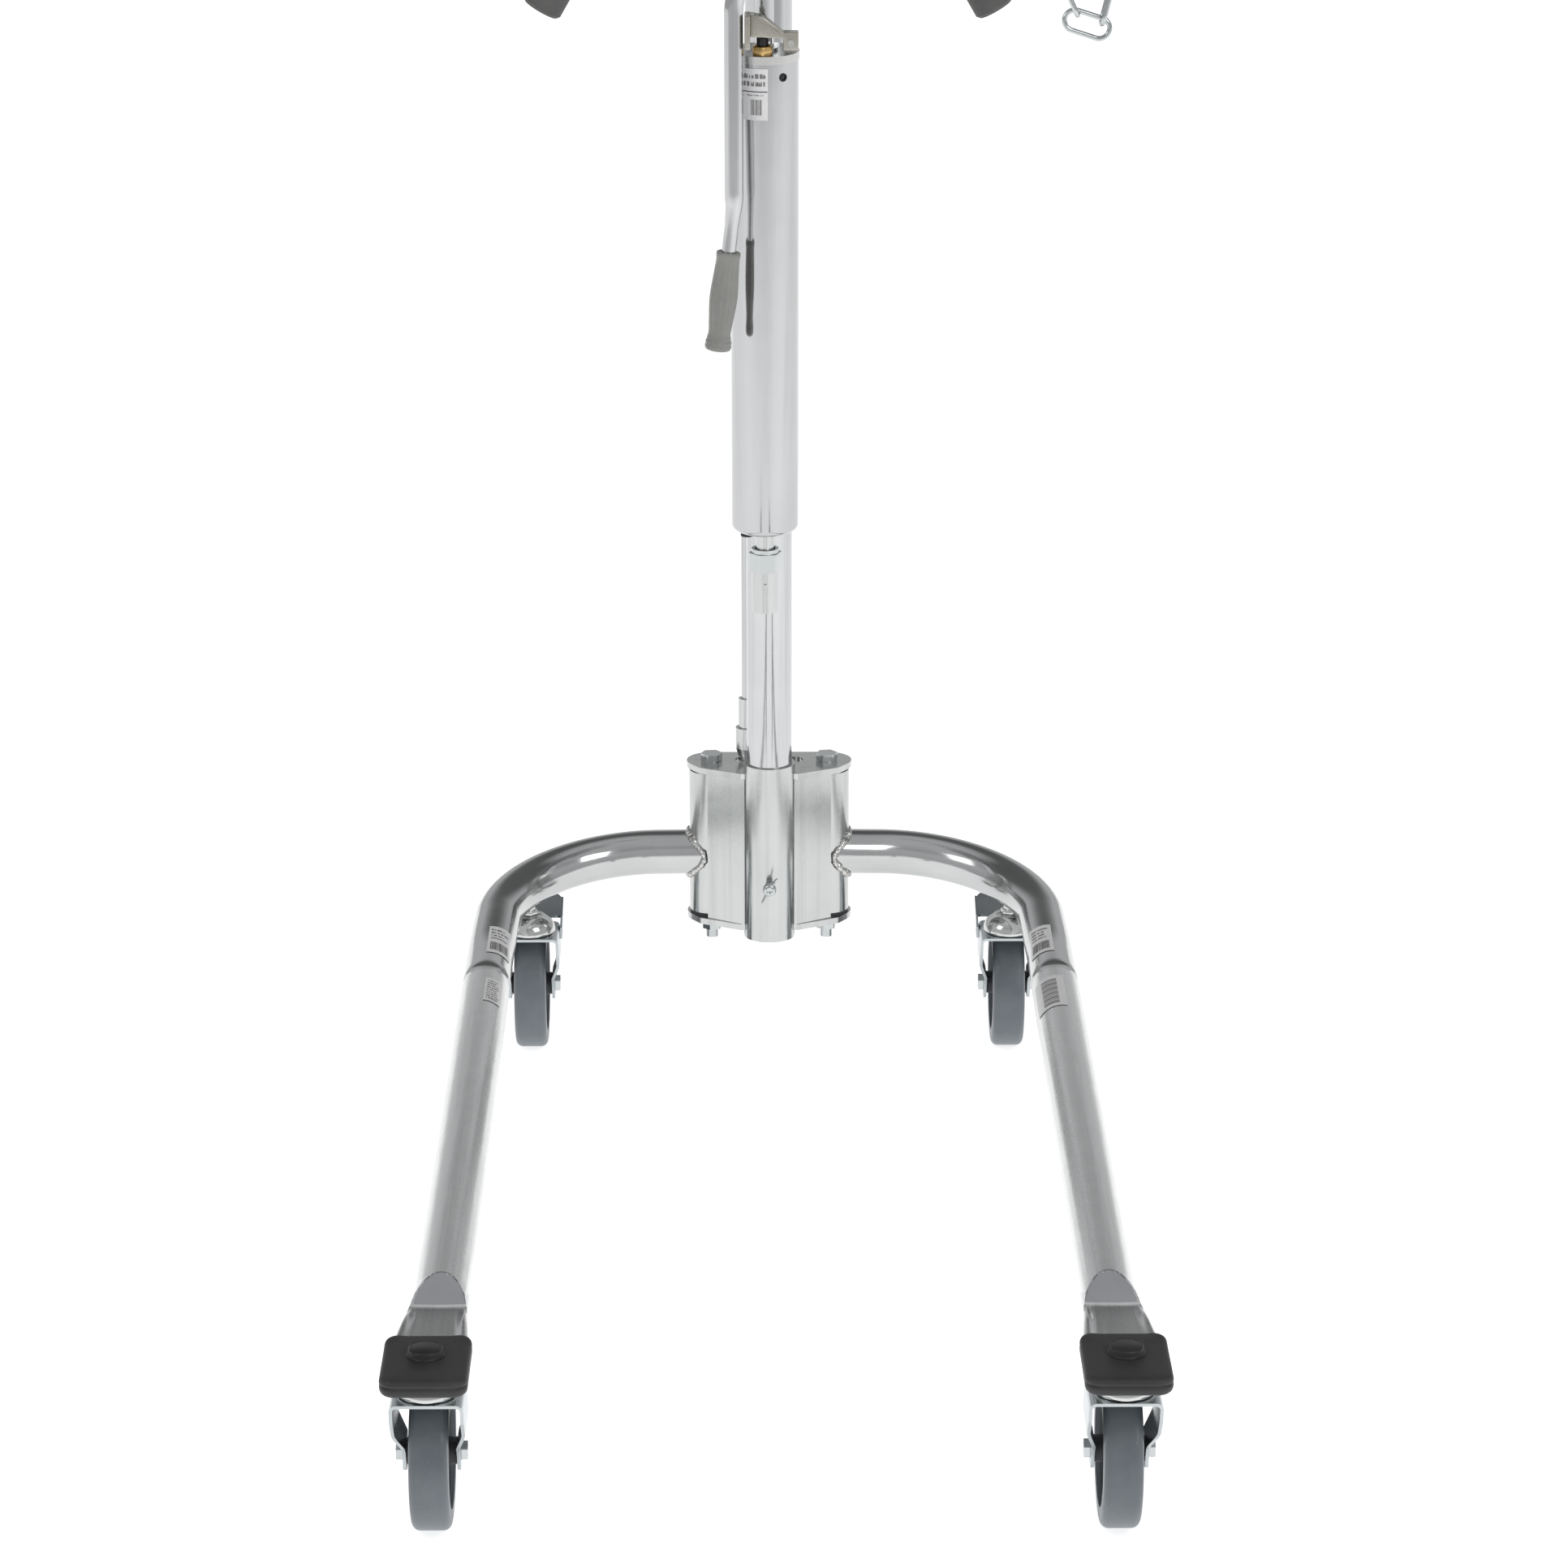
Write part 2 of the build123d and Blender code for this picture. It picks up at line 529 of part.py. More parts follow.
def hanger():
    """Clevis on the boom's lug, with the swivel stud that the cradle turns on."""
    web_top = CRADLE_BAR_Z + 28
    body = block((-15, 15), (CRADLE_Y - 13, CRADLE_Y + 13), (web_top - 8, HANGER_PIN_Z))
    body += rod_x(13, -15, 15, CRADLE_Y, HANGER_PIN_Z)
    body -= block((-5.6, 5.6), (CRADLE_Y - 40, CRADLE_Y + 40), (web_top, HANGER_PIN_Z + 40))
    body += rod_x(6.0, -20, 20, CRADLE_Y, HANGER_PIN_Z)
    body += rod(8, CRADLE_BAR_Z - 20, web_top - 2, y=CRADLE_Y)
    return body + rod(13, CRADLE_BAR_Z - 24, CRADLE_BAR_Z - 18.5, y=CRADLE_Y)


def cradle_hub():
    """Swivel sleeve at the middle of the cradle."""
    sleeve = rod(17, CRADLE_BAR_Z - 18, CRADLE_BAR_Z + 19.5, y=CRADLE_Y)
    return sleeve - rod(8.07, CRADLE_BAR_Z - 30, CRADLE_BAR_Z + 40, y=CRADLE_Y)


ARM_ANGLES = (38.0, 142.0, 218.0, 322.0)
ARM_REACH = 150.0


def cradle_bars():
    """Long cross bar and four shorter arms, welded to the hub."""
    bars = []
    for side in (-1, 1):
        bar = rod_x(11, 0, 236, 0, 0)
        bars.append(Pos(0, CRADLE_Y, CRADLE_BAR_Z) * Rot(0, 0, 90 - 90 * side) * bar)
    for angle in ARM_ANGLES:
        arm = rod_x(8, 0, ARM_REACH + 8, 0, -1)
        arm -= rod_x(11.3, -300, 300, 0, 0).rotate(Axis.Z, -angle)
        bars.append(Pos(0, CRADLE_Y, CRADLE_BAR_Z) * Rot(0, 0, angle) * arm)
    sleeve = rod(17 + GAP, 1300, 1500, y=CRADLE_Y)
    solids = []
    for bar in bars:
        pieces = (bar - sleeve).solids()
        solids.append(pieces.sort_by(SortBy.VOLUME)[-1])
    return group(*solids, cradle_hub())


def hook(reach, drop_from):
    """Open J-hook under an arm, in the X-Z plane, opening upwards and outwards."""
    low = HOOK_LOW_Z - CRADLE_BAR_Z
    points = [
        (reach - HOOK_BEND_R, 0, drop_from),
        (reach - HOOK_BEND_R, 0, low),
        (reach + HOOK_BEND_R, 0, low),
        (reach + HOOK_BEND_R, 0, low + 27),
    ]
    shank = pipe(points, HOOK_BEND_R - 0.02, HOOK_ROD_R)
    return shank + Pos(*points[-1]) * Sphere(HOOK_ROD_R + 1.2)


def cradle_hooks():
    """Six sling hooks."""
    end_hook = hook(HOOK_X, -11.15)
    arm_hook = hook(ARM_REACH + 10, -9.15)
    hooks = []
    for angle in (0, 180):
        hooks.append(Pos(0, CRADLE_Y, CRADLE_BAR_Z) * Rot(0, 0, angle) * end_hook)
    for angle in ARM_ANGLES:
        hooks.append(Pos(0, CRADLE_Y, CRADLE_BAR_Z) * Rot(0, 0, angle) * arm_hook)
    return group(*hooks)


def chain_link():
    """One long link, upright in the X-Z plane and centred on the origin."""
    rail = SlotOverall(LINK_LENGTH - 2 * LINK_WIRE_R, LINK_WIDTH - 2 * LINK_WIRE_R)
    path = (Plane.XZ * Rot(0, 0, 90) * rail).face().outer_wire()
    section = Plane(origin=path @ 0, z_dir=path % 0) * Circle(LINK_WIRE_R)
    return sweep(section, path=path)


def strand_angle(chord):
    """Half the turn from one link to the next when a strand's links span the chord along an arc."""
    low, high = 0.001, 0.3
    for _ in range(40):
        middle = (low + high) / 2
        if LINK_PITCH * sin(CHAIN_LINKS * middle) / sin(middle) > chord:
            low = middle
        else:
            high = middle
    return low


def chain_strand(top, bottom, side):
    """Links from one joint to another, bowed outwards to the given side."""
    link = chain_link()
    step = strand_angle(hypot(top[0] - bottom[0], top[1] - bottom[1]))
    lean = atan2(bottom[0] - top[0], top[1] - bottom[1])
    x, z = top
    links = []
    for k in range(CHAIN_LINKS):
        swing = lean + side * (CHAIN_LINKS - 1 - 2 * k) * step
        dx, dz = sin(swing) * LINK_PITCH, -cos(swing) * LINK_PITCH
        turn = 90 * k + 90 if k < CHAIN_LINKS - 1 else 90
        place = Pos(x + dx / 2, CRADLE_Y, z + dz / 2) * Rot(0, -degrees(swing), 0) * Rot(0, 0, turn)
        links.append(place * link)
        x, z = x + dx, z + dz
    return links


def sling_chain():
    """Loop of chain hanging from the right end hook: two strands joined by a slanting bottom link."""
    tilt = Rot(0, BOTTOM_LINK_TILT, 0)
    bottom = Pos(HOOK_X, CRADLE_Y, BOTTOM_LINK_Z) * tilt
    links = [bottom * Rot(0, 90, 0) * chain_link()]
    wire = LINK_WIDTH / 2 - LINK_WIRE_R
    for side in (-1, 1):
        low = (bottom * Pos(side * 10.5, 0, wire - 2.2)).position
        top = (HOOK_X + side * 5, HOOK_LOW_Z + HOOK_ROD_R + 1.2)
        links += chain_strand(top, (low.X, low.Z), side)
    return group(*links)


# ---- hydraulic jack, modelled upright on its own axis -------------------------------------------------
def on_jack(shape):
    """Places a shape modelled with its axis on Z and the ball's centre at the origin."""
    return Pos(*JACK_BASE) * Rot(JACK_LEAN, 0, 0) * shape


def pump_neck():
    """Ball end and neck screwed into the pump's base."""
    return on_jack(Sphere(10) + rod(8.5, 0, PUMP_LOW - 0.2))


def pump_cylinder():
    """Reservoir shell with a thick base and rounded lower edge."""
    shell = Pos(0, 0, PUMP_LOW) * Cylinder(PUMP_R, PUMP_HIGH - PUMP_LOW, align=UP)
    shell = fillet(shell.edges().sort_by(Axis.Z)[0], 6)
    shell -= rod(PUMP_R - 2.5, PUMP_LOW + 12, PUMP_HIGH + 1)
    return on_jack(shell - rod(5.2, PUMP_LOW - 1, PUMP_LOW + 13, -17, 12))


def pump_cap():
    """Cap with the ram's gland, the plunger's brass gland seat and a plug boss."""
    cap = turned([(0, PUMP_HIGH), (PUMP_R + 0.4, PUMP_HIGH), (PUMP_R + 0.4, CAP_TOP), (0, CAP_TOP)])
    cap += rod(12.5, CAP_TOP - 1, CAP_TOP + 3, 0, 0) + rod(7.9, CAP_TOP - 1, CAP_TOP + 8.5, -2, -21)
    cap -= rod(RAM_R + 0.08, PUMP_HIGH - 1, CAP_TOP + 10)
    cap = on_jack(cap - rod(5.55, PUMP_HIGH - 1, CAP_TOP + 20, -2, -21))
    return cap + yoke_post()


def plunger():
    """Pump plunger that the yoke pushes down."""
    return on_jack(rod(5.5, CAP_TOP - 60, CAP_TOP + 16, -2, -21))


def release_valve():
    """Knurled release knob under the pump's base."""
    knob = rod(6.5, PUMP_LOW - 11, PUMP_LOW - 0.4, -17, 12) + rod(5.1, PUMP_LOW - 1, PUMP_LOW + 10, -17, 12)
    return on_jack(knob)


def ram():
    """Ram with a slotted eye round the boom's pin."""
    length = (BOOM_PIVOT_Z - JACK_BASE[2]) / cos(radians(JACK_LEAN))
    shaft = rod(RAM_R, 240, length - 8.5)
    eye = extrude(Plane.YZ * SlotOverall(46, 23.4), 7, both=True)
    slot = extrude(Plane.YZ * SlotOverall(2 * (RAM_SLOT_TRAVEL + RAM_PIN_R + 1.3), 2 * (RAM_PIN_R + 1.9)), 9, both=True)
    return on_jack(shaft + Pos(0, 0, length) * (eye - slot))


def pump_yoke():
    """Cast yoke that rocks on the block at its right and bears on the plunger."""
    outline = make_face(Polyline(
        (-17.5, 1040), (-17.5, 1061), (-5, 1058.5), (13, 1044), (27, 1044), (27, 1027.5), (13, 1027.5),
        (13, 1038.5), close=True,
    ))
    yoke = Pos(0, YOKE_FRONT_Y, 0) * extrude(Plane.XZ * outline, -YOKE_DEPTH)
    cheek = block((-22.7, -17.4), (HANDLE_Y - 8, YOKE_FRONT_Y + YOKE_DEPTH), (1030, 1061))
    return yoke + cheek - rod_y(3.06, 380, 450, *YOKE_PIVOT)


def yoke_post():
    """Post on the pump's cap with the yoke's pivot pin."""
    pin = rod_y(3.0, YOKE_FRONT_Y - 1, YOKE_FRONT_Y + 29, *YOKE_PIVOT)
    post = block((14, 25), (YOKE_FRONT_Y + 21, YOKE_FRONT_Y + 28), (1022, 1040))
    return pin + post


def pump_handle():
    """Pump handle tube bolted to the yoke's cheek."""
    upper = [(-20, HANDLE_Y, 1110), (HANDLE_X, HANDLE_Y, 1072), (HANDLE_X, HANDLE_Y, HANDLE_BEND_Z)]
    tube = pipe(upper, 60, 8.8, 6.9) + Pos(HANDLE_X, HANDLE_Y, HANDLE_BEND_Z) * Sphere(8.75)
    angle = degrees(atan2(GRIP_RUN[0], GRIP_RUN[1]))
    lower = Pos(HANDLE_X, HANDLE_Y, HANDLE_BEND_Z) * Rot(0, angle, 0) * rod(6.6, -107, 0)
    return tube + lower


def pump_handle_grip():
    """Vinyl grip pushed over the handle's lower end."""
    angle = degrees(atan2(GRIP_RUN[0], GRIP_RUN[1]))
    grip = turned([
        (0, -138), (10.4, -138), (12.3, -134), (12.3, -130), (10.6, -121), (11.9, -100), (12.6, -88), (12.0, -68),
        (10.8, -53), (11.2, -46), (11.2, -44), (0, -44),
    ])
    grip -= rod(6.75, -107.5, -40)
    return Pos(HANDLE_X, HANDLE_Y, HANDLE_BEND_Z) * Rot(0, angle, 0) * grip


# ---- output ---------------------------------------------------------------------------------------------
def corner_name(side, row):
    return f"{row}_{side}"


def build_parts():
    parts = {
        "base_top_plate": base_top_plate(),
        "base_bottom_plate": base_plate(BOTTOM_PLATE_Z),
        "base_front_panels": base_front_panels(),
        "mast_socket": mast_socket(),
        "pivot_bushes": pivot_bushes(),
        "frame_fasteners": frame_fasteners(),
        "mast": mast(),
        "mast_head": mast_head(),
        "jack_mount": jack_mount(),
        "push_handle_bar": push_handle_bar(),
        "push_grips": push_grips(),
        "handle_clamp": handle_clamp(),
        "left_pivot_tube": left_pivot_tube(),
        "right_pivot_tube": right_pivot_tube(),
        "spreader_lever": spreader_lever(),
        "lever_knob": lever_knob(),
        "wing_screw": wing_screw(),
        "boom_tube": boom_tube(),
        "boom_bracket": boom_bracket(),
        "ram_pin": ram_pin(),
        "boom_end_lug": boom_end_lug(),
        "hanger": hanger(),
        "cradle_bars": cradle_bars(),
        "cradle_hooks": cradle_hooks(),
        "sling_chain": sling_chain(),
        "pump_neck": pump_neck(),
        "pump_cylinder": pump_cylinder(),
        "pump_cap": pump_cap(),
        "plunger": plunger(),
        "release_valve": release_valve(),
        "ram": ram(),
        "pump_yoke": pump_yoke(),
        "pump_handle": pump_handle(),
        "pump_handle_grip": pump_handle_grip(),
    }
    leg_makers = {"leg_bend": leg_bend, "leg_tube": leg_tube, "tip_pad": tip_pad, "caster_stems": caster_stems}
    for name, make in leg_makers.items():
        shape = make()
        parts[f"right_{name}"] = shape
        parts[f"left_{name}"] = left(shape)
    for row, (x, y) in {"front": FRONT_STEM, "rear": REAR_STEM}.items():
        for side, sign in {"left": -1, "right": 1}.items():
            corner = corner_name(side, row)
            parts[f"{corner}_fork"] = caster_fork(sign * x, y, row == "rear")
            parts[f"{corner}_axle"] = caster_axle(sign * x, y, -sign)
            parts[f"{corner}_hub"] = wheel_hub(sign * x, y)
            parts[f"{corner}_tyre"] = wheel_tyre(sign * x, y)
    for side, sign in {"left": -1, "right": 1}.items():
        parts[f"{side}_brake_pedal"] = brake_pedal(sign * REAR_STEM[0], REAR_STEM[1])
    return parts


os.makedirs("parts", exist_ok=True)
for node, solid in build_parts().items():
    export_step(solid, f"parts/{node}.step")
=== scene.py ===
import math
import random

import bmesh
import bpy
from mathutils import Matrix, Vector
from mathutils.bvhtree import BVHTree


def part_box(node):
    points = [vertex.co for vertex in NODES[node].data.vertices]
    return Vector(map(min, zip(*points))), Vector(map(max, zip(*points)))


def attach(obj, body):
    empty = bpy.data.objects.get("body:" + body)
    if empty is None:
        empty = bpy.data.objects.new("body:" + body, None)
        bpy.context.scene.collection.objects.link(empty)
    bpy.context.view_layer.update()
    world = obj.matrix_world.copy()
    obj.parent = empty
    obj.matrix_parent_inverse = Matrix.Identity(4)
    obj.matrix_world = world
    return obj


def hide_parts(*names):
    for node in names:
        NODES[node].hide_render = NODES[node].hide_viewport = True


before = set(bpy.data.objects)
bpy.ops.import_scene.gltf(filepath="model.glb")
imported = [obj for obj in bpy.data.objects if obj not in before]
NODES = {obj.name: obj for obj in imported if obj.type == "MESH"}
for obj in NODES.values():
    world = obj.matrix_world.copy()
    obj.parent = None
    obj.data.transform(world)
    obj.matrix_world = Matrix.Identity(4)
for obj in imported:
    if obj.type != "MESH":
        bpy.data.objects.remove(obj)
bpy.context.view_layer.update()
RNG = random.Random(7)


def box(node):
    low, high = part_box(node)
    return Vector(low), Vector(high)


# ---- materials ------------------------------------------------------------------------------------
class Nodes:
    """Small helper for building a node material."""

    def __init__(self, name):
        self.material = bpy.data.materials.new(name)
        self.material.use_nodes = True
        self.tree = self.material.node_tree
        self.bsdf = self.tree.nodes["Principled BSDF"]
        self.coords = self.tree.nodes.new("ShaderNodeTexCoord").outputs["Object"]

    def link(self, a, b):
        self.tree.links.new(a, b)

    def add(self, kind, **inputs):
        node = self.tree.nodes.new("ShaderNode" + kind)
        for key, value in inputs.items():
            name = key.replace("_", " ")
            target = node.inputs[name]
            if hasattr(value, "is_linked"):
                self.link(value, target)
            else:
                target.default_value = value
        return node

    def scaled(self, scale):
        mapping = self.add("Mapping", Vector=self.coords)
        mapping.inputs["Scale"].default_value = scale
        return mapping.outputs["Vector"]

    def noise(self, scale, detail=3.0, roughness=0.55, stretch=(1, 1, 1)):
        node = self.add("TexNoise", Vector=self.scaled(stretch), Scale=scale, Detail=detail,
                        Roughness=roughness)
        return node.outputs["Fac"]

    def ramp(self, fac, stops):
        node = self.add("ValToRGB", Fac=fac)
        ramp = node.color_ramp
        while len(ramp.elements) < len(stops):
            ramp.elements.new(0.5)
        for element, (position, colour) in zip(ramp.elements, stops):
            element.position = position
            element.color = (*colour, 1.0) if len(colour) == 3 else colour
        return node.outputs["Color"]

    def range(self, fac, from_low, from_high, low, high):
        node = self.add("MapRange", Value=fac)
        limits = {"From Min": from_low, "From Max": from_high, "To Min": low, "To Max": high}
        for key, value in limits.items():
            node.inputs[key].default_value = value
        return node.outputs["Result"]

    def mix(self, fac, a, b):
        node = self.tree.nodes.new("ShaderNodeMix")
        node.data_type = "RGBA"
        for socket, value in ((node.inputs[0], fac), (node.inputs[6], a), (node.inputs[7], b)):
            if hasattr(value, "is_linked"):
                self.link(value, socket)
            else:
                socket.default_value = value if isinstance(value, float) else (*value, 1.0)
        return node.outputs[2]

    def bump(self, height, strength, distance=0.001, below=None):
        node = self.add("Bump", Height=height, Strength=strength, Distance=distance)
        if below is not None:
            self.link(below, node.inputs["Normal"])
        return node.outputs["Normal"]

    def set(self, **inputs):
        for key, value in inputs.items():
            target = self.bsdf.inputs[key.replace("_", " ")]
            if hasattr(value, "is_linked"):
                self.link(value, target)
            else:
                target.default_value = (*value, 1.0) if isinstance(value, tuple) else value
        return self


def plated(name, light, dark, rough, streak=(1, 1, 1), grain=0.06, mottling=0.5, drawn_lines_and_painted_reflection=0.0,
           drawn=(1, 1, 0.02)):
    """Bright plated steel: faint mottling, brushed streaks, dark drawing marks that partly stand in as
    painted reflection streaks, and tiny scuffs.
    """
    m = Nodes(name)
    broad = m.noise(9.0, 4.0, 0.6)
    fine = m.noise(420.0, 2.0, 0.6, streak)
    colour = m.ramp(broad, [(0.5 - mottling / 2, dark), (0.5 + mottling / 2, light)])
    specks = m.add("TexVoronoi", Vector=m.coords, Scale=190.0)
    speck = m.range(specks.outputs["Distance"], 0.0, 0.09, 1.0, 0.0)
    gate = m.range(m.noise(31.0, 2.0), 0.56, 0.62, 0.0, 1.0)
    rare = m.add("Math")
    rare.operation = "MULTIPLY"
    m.link(speck, rare.inputs[0])
    m.link(gate, rare.inputs[1])
    colour = m.mix(m.range(rare.outputs[0], 0.0, 1.0, 0.0, 0.35), colour, tuple(c * 0.5 for c in dark))
    # Dark streaks along the drawing direction: partly real drawing marks, partly painted reflection of dark
    # surroundings.
    if drawn_lines_and_painted_reflection:
        streaks = m.noise(85.0, 3.0, 0.6, drawn)
        colour = m.mix(m.range(streaks, 0.50, 0.72, 0.0, drawn_lines_and_painted_reflection), colour, tuple(c * 0.45 for c in dark))
    m.set(Base_Color=colour, Metallic=1.0)
    rough_mix = m.add("Math")
    rough_mix.operation = "ADD"
    m.link(m.range(broad, 0.3, 0.7, rough[0], rough[1]), rough_mix.inputs[0])
    m.link(m.range(fine, 0.3, 0.7, -0.02, 0.03), rough_mix.inputs[1])
    m.set(Roughness=rough_mix.outputs[0])
    waves = m.bump(m.noise(14.0, 2.0), 0.10, 0.004)
    m.set(Normal=m.bump(fine, grain, 0.0004, waves))
    return m.material


def rubber(name, light, dark, rough=0.7, pebble=900.0, depth=0.25, dust=0.0):
    """Matte rubber with a fine pebbled skin, rubbed patches and a little dust."""
    m = Nodes(name)
    broad = m.noise(22.0, 5.0, 0.65)
    colour = m.ramp(broad, [(0.36, dark), (0.68, light)])
    if dust:
        spots = m.add("TexVoronoi", Vector=m.coords, Scale=150.0)
        spot = m.range(spots.outputs["Distance"], 0.02, 0.10, 1.0, 0.0)
        gate = m.range(m.noise(60.0, 2.0), 0.58, 0.66, 0.0, 1.0)
        both = m.add("Math")
        both.operation = "MULTIPLY"
        m.link(spot, both.inputs[0])
        m.link(gate, both.inputs[1])
        colour = m.mix(m.range(both.outputs[0], 0.0, 1.0, 0.0, dust), colour, (0.55, 0.56, 0.56))
    m.set(Base_Color=colour, Roughness=m.range(broad, 0.3, 0.7, rough - 0.08, rough + 0.08))
    m.set(Normal=m.bump(m.noise(pebble, 2.0), depth, 0.0003))
    m.bsdf.inputs["Specular IOR Level"].default_value = 0.4
    return m.material


def cast(name, light, dark):
    m = Nodes(name)
    broad = m.noise(40.0, 5.0, 0.7)
    m.set(Base_Color=m.ramp(broad, [(0.35, dark), (0.7, light)]), Metallic=0.85)
    m.set(Roughness=m.range(broad, 0.3, 0.7, 0.20, 0.36))
    m.set(Normal=m.bump(m.noise(700.0, 3.0), 0.15, 0.0005))
    return m.material


CHROME = plated("polished_chrome", (0.58, 0.59, 0.595), (0.50, 0.51, 0.515), (0.06, 0.11), (1, 1, 0.06), 0.02,
                drawn_lines_and_painted_reflection=0.35)
PUMP = plated("pump_chrome", (0.54, 0.545, 0.55), (0.49, 0.495, 0.50), (0.09, 0.14), (1, 1, 0.04), 0.015,
              drawn_lines_and_painted_reflection=0.12)
ZINC = plated("bright_zinc", (0.60, 0.61, 0.605), (0.50, 0.51, 0.505), (0.14, 0.24), (1, 1, 1), 0.06,
              drawn_lines_and_painted_reflection=0.25)
BEND = plated("bend_zinc", (0.58, 0.59, 0.59), (0.49, 0.50, 0.50), (0.11, 0.18), (1, 1, 1), 0.02, drawn_lines_and_painted_reflection=0.0)
# Darker copy of the tube's zinc for the pressed facet: its low base colour is painted shade standing in for
# the facet's dark reflection; the lower roughness is its polish.
FACET_PAINTED_DARK = plated("pressed_zinc_painted_dark", (0.50, 0.51, 0.52), (0.40, 0.41, 0.43), (0.10, 0.16), (1, 1, 1), 0.01)
RACE_METAL = plated("race_zinc", (0.66, 0.67, 0.66), (0.56, 0.57, 0.56), (0.10, 0.18), (1, 1, 1), 0.05)
SATIN = plated("satin_zinc", (0.76, 0.77, 0.77), (0.72, 0.73, 0.73), (0.24, 0.30), (1, 0.05, 1), 0.01, 0.5,
               0.30, (1, 0.015, 1))
BOLT = plated("bolt_zinc", (0.62, 0.645, 0.65), (0.44, 0.465, 0.47), (0.12, 0.22), (1, 1, 1), 0.08)
FORK = plated("fork_zinc", (0.54, 0.575, 0.585), (0.44, 0.475, 0.49), (0.20, 0.30), (1, 1, 1), 0.10)
CAP = plated("cap_silver", (0.66, 0.66, 0.65), (0.54, 0.54, 0.53), (0.24, 0.34), (1, 1, 12), 0.12)
BRASS = plated("turned_brass", (0.72, 0.50, 0.22), (0.55, 0.36, 0.14), (0.20, 0.34), (1, 1, 12), 0.12)
WELD = plated("weld_bead", (0.68, 0.68, 0.66), (0.48, 0.48, 0.47), (0.16, 0.30), (1, 1, 1), 0.25)
CAST = cast("cast_gunmetal", (0.50, 0.485, 0.43), (0.40, 0.388, 0.34))
BLACK_STEEL = cast("black_steel", (0.05, 0.05, 0.052), (0.02, 0.02, 0.022))
PAD = rubber("pad_rubber", (0.044, 0.044, 0.046), (0.028, 0.028, 0.029), 0.55, 700.0, 0.30, 0.25)
CAP_RUBBER = rubber("cap_rubber", (0.026, 0.026, 0.027), (0.016, 0.016, 0.017), 0.42, 700.0, 0.15, 0.3)
TYRE = rubber("tyre_grey", (0.150, 0.168, 0.185), (0.118, 0.134, 0.150), 0.38, 500.0, 0.06, 0.6)
HUB = rubber("hub_grey", (0.070, 0.076, 0.083), (0.050, 0.055, 0.062), 0.45, 400.0, 0.10, 0.2)
GRIP_DARK = rubber("grip_dark", (0.118, 0.118, 0.115), (0.088, 0.088, 0.086), 0.70, 620.0, 0.45)
GRIP_GREY = rubber("grip_grey", (0.262, 0.260, 0.248), (0.205, 0.204, 0.194), 0.30, 500.0, 0.05, 0.1)
VINYL = rubber("black_vinyl", (0.045, 0.045, 0.046), (0.025, 0.025, 0.026), 0.45, 500.0, 0.10)


def material_for(node):
    exact = {
        "push_grips": GRIP_DARK,
        "pump_handle_grip": GRIP_GREY,
        "pump_yoke": CAST,
        "pivot_bushes": HUB,
        "lever_knob": VINYL,
        "pump_cap": CAP,
        "plunger": BLACK_STEEL,
        "release_valve": BLACK_STEEL,
        "pump_cylinder": PUMP,
        "ram": CHROME,
        "pump_handle": CHROME,
        "mast": CHROME,
        "boom_tube": CHROME,
        "push_handle_bar": CHROME,
        "sling_chain": BOLT,
        "spreader_lever": ZINC,
        "frame_fasteners": BOLT,
        "wing_screw": BOLT,
        "ram_pin": BOLT,
    }
    if node in exact:
        return exact[node]
    for part, material in {"tip_pad": PAD, "tyre": TYRE, "hub": HUB, "axle": BOLT, "caster_stems": ZINC,
                           "fork": FORK, "brake": FORK, "leg_tube": SATIN}.items():
        if part in node:
            return material
    return ZINC


for name, node in NODES.items():
    node.data.materials.clear()
    node.data.materials.append(material_for(name))

PAPER = rubber("label_paper", (0.76, 0.76, 0.765), (0.70, 0.70, 0.705), 0.42, 260.0, 0.03)
INK = rubber("label_ink", (0.115, 0.115, 0.12), (0.06, 0.06, 0.062), 0.5, 260.0, 0.03)


# ---- mesh helpers ---------------------------------------------------------------------------------
def skin(rings, start_cap=True, end_cap=True, bm=None):
    """Quads between rings of the same number of points."""
    bm = bm or bmesh.new()
    rows = [[bm.verts.new(p) for p in ring] for ring in rings]
    for a, b in zip(rows, rows[1:]):
        for i in range(len(a)):
            j = (i + 1) % len(a)
            bm.faces.new((a[i], a[j], b[j], b[i]))
    if start_cap:
        bm.faces.new(rows[0])
    if end_cap:
        bm.faces.new(rows[-1])
    return bm


def lathe(profile, place=Matrix(), segments=72, bm=None, ripple=None):
    """Surface of revolution from (radius, height) in millimetres, placed by a matrix in metres."""
    rings = []
    for r, z in profile:
        ring = []
        for i in range(segments):
            turn = 2 * math.pi * i / segments
            radius = max(r, 0.004) * (ripple(turn, z) if ripple else 1.0)
            x, y = radius * math.cos(turn), radius * math.sin(turn)
            ring.append(place @ Vector((x / 1000, y / 1000, z / 1000)))
        rings.append(ring)
    return skin(rings, bm=bm)


def along(origin, direction, side=(0, 0, 1)):
    """Matrix with its Z axis along a direction."""
    z = Vector(direction).normalized()
    x = Vector(side).cross(z)
    if x.length < 1e-4:
        x = Vector((1, 0, 0)).cross(z)
    x.normalize()
    y = z.cross(x)
    m = Matrix((x, y, z)).transposed().to_4x4()
    m.translation = Vector(origin)
    return m


def hex_profile():
    """Radius factor of a hexagon with slightly rounded corners."""
    def factor(turn, _z):
        local = (turn + math.pi / 6) % (math.pi / 3) - math.pi / 6
        return min(1 / math.cos(local), 1.125)
    return factor


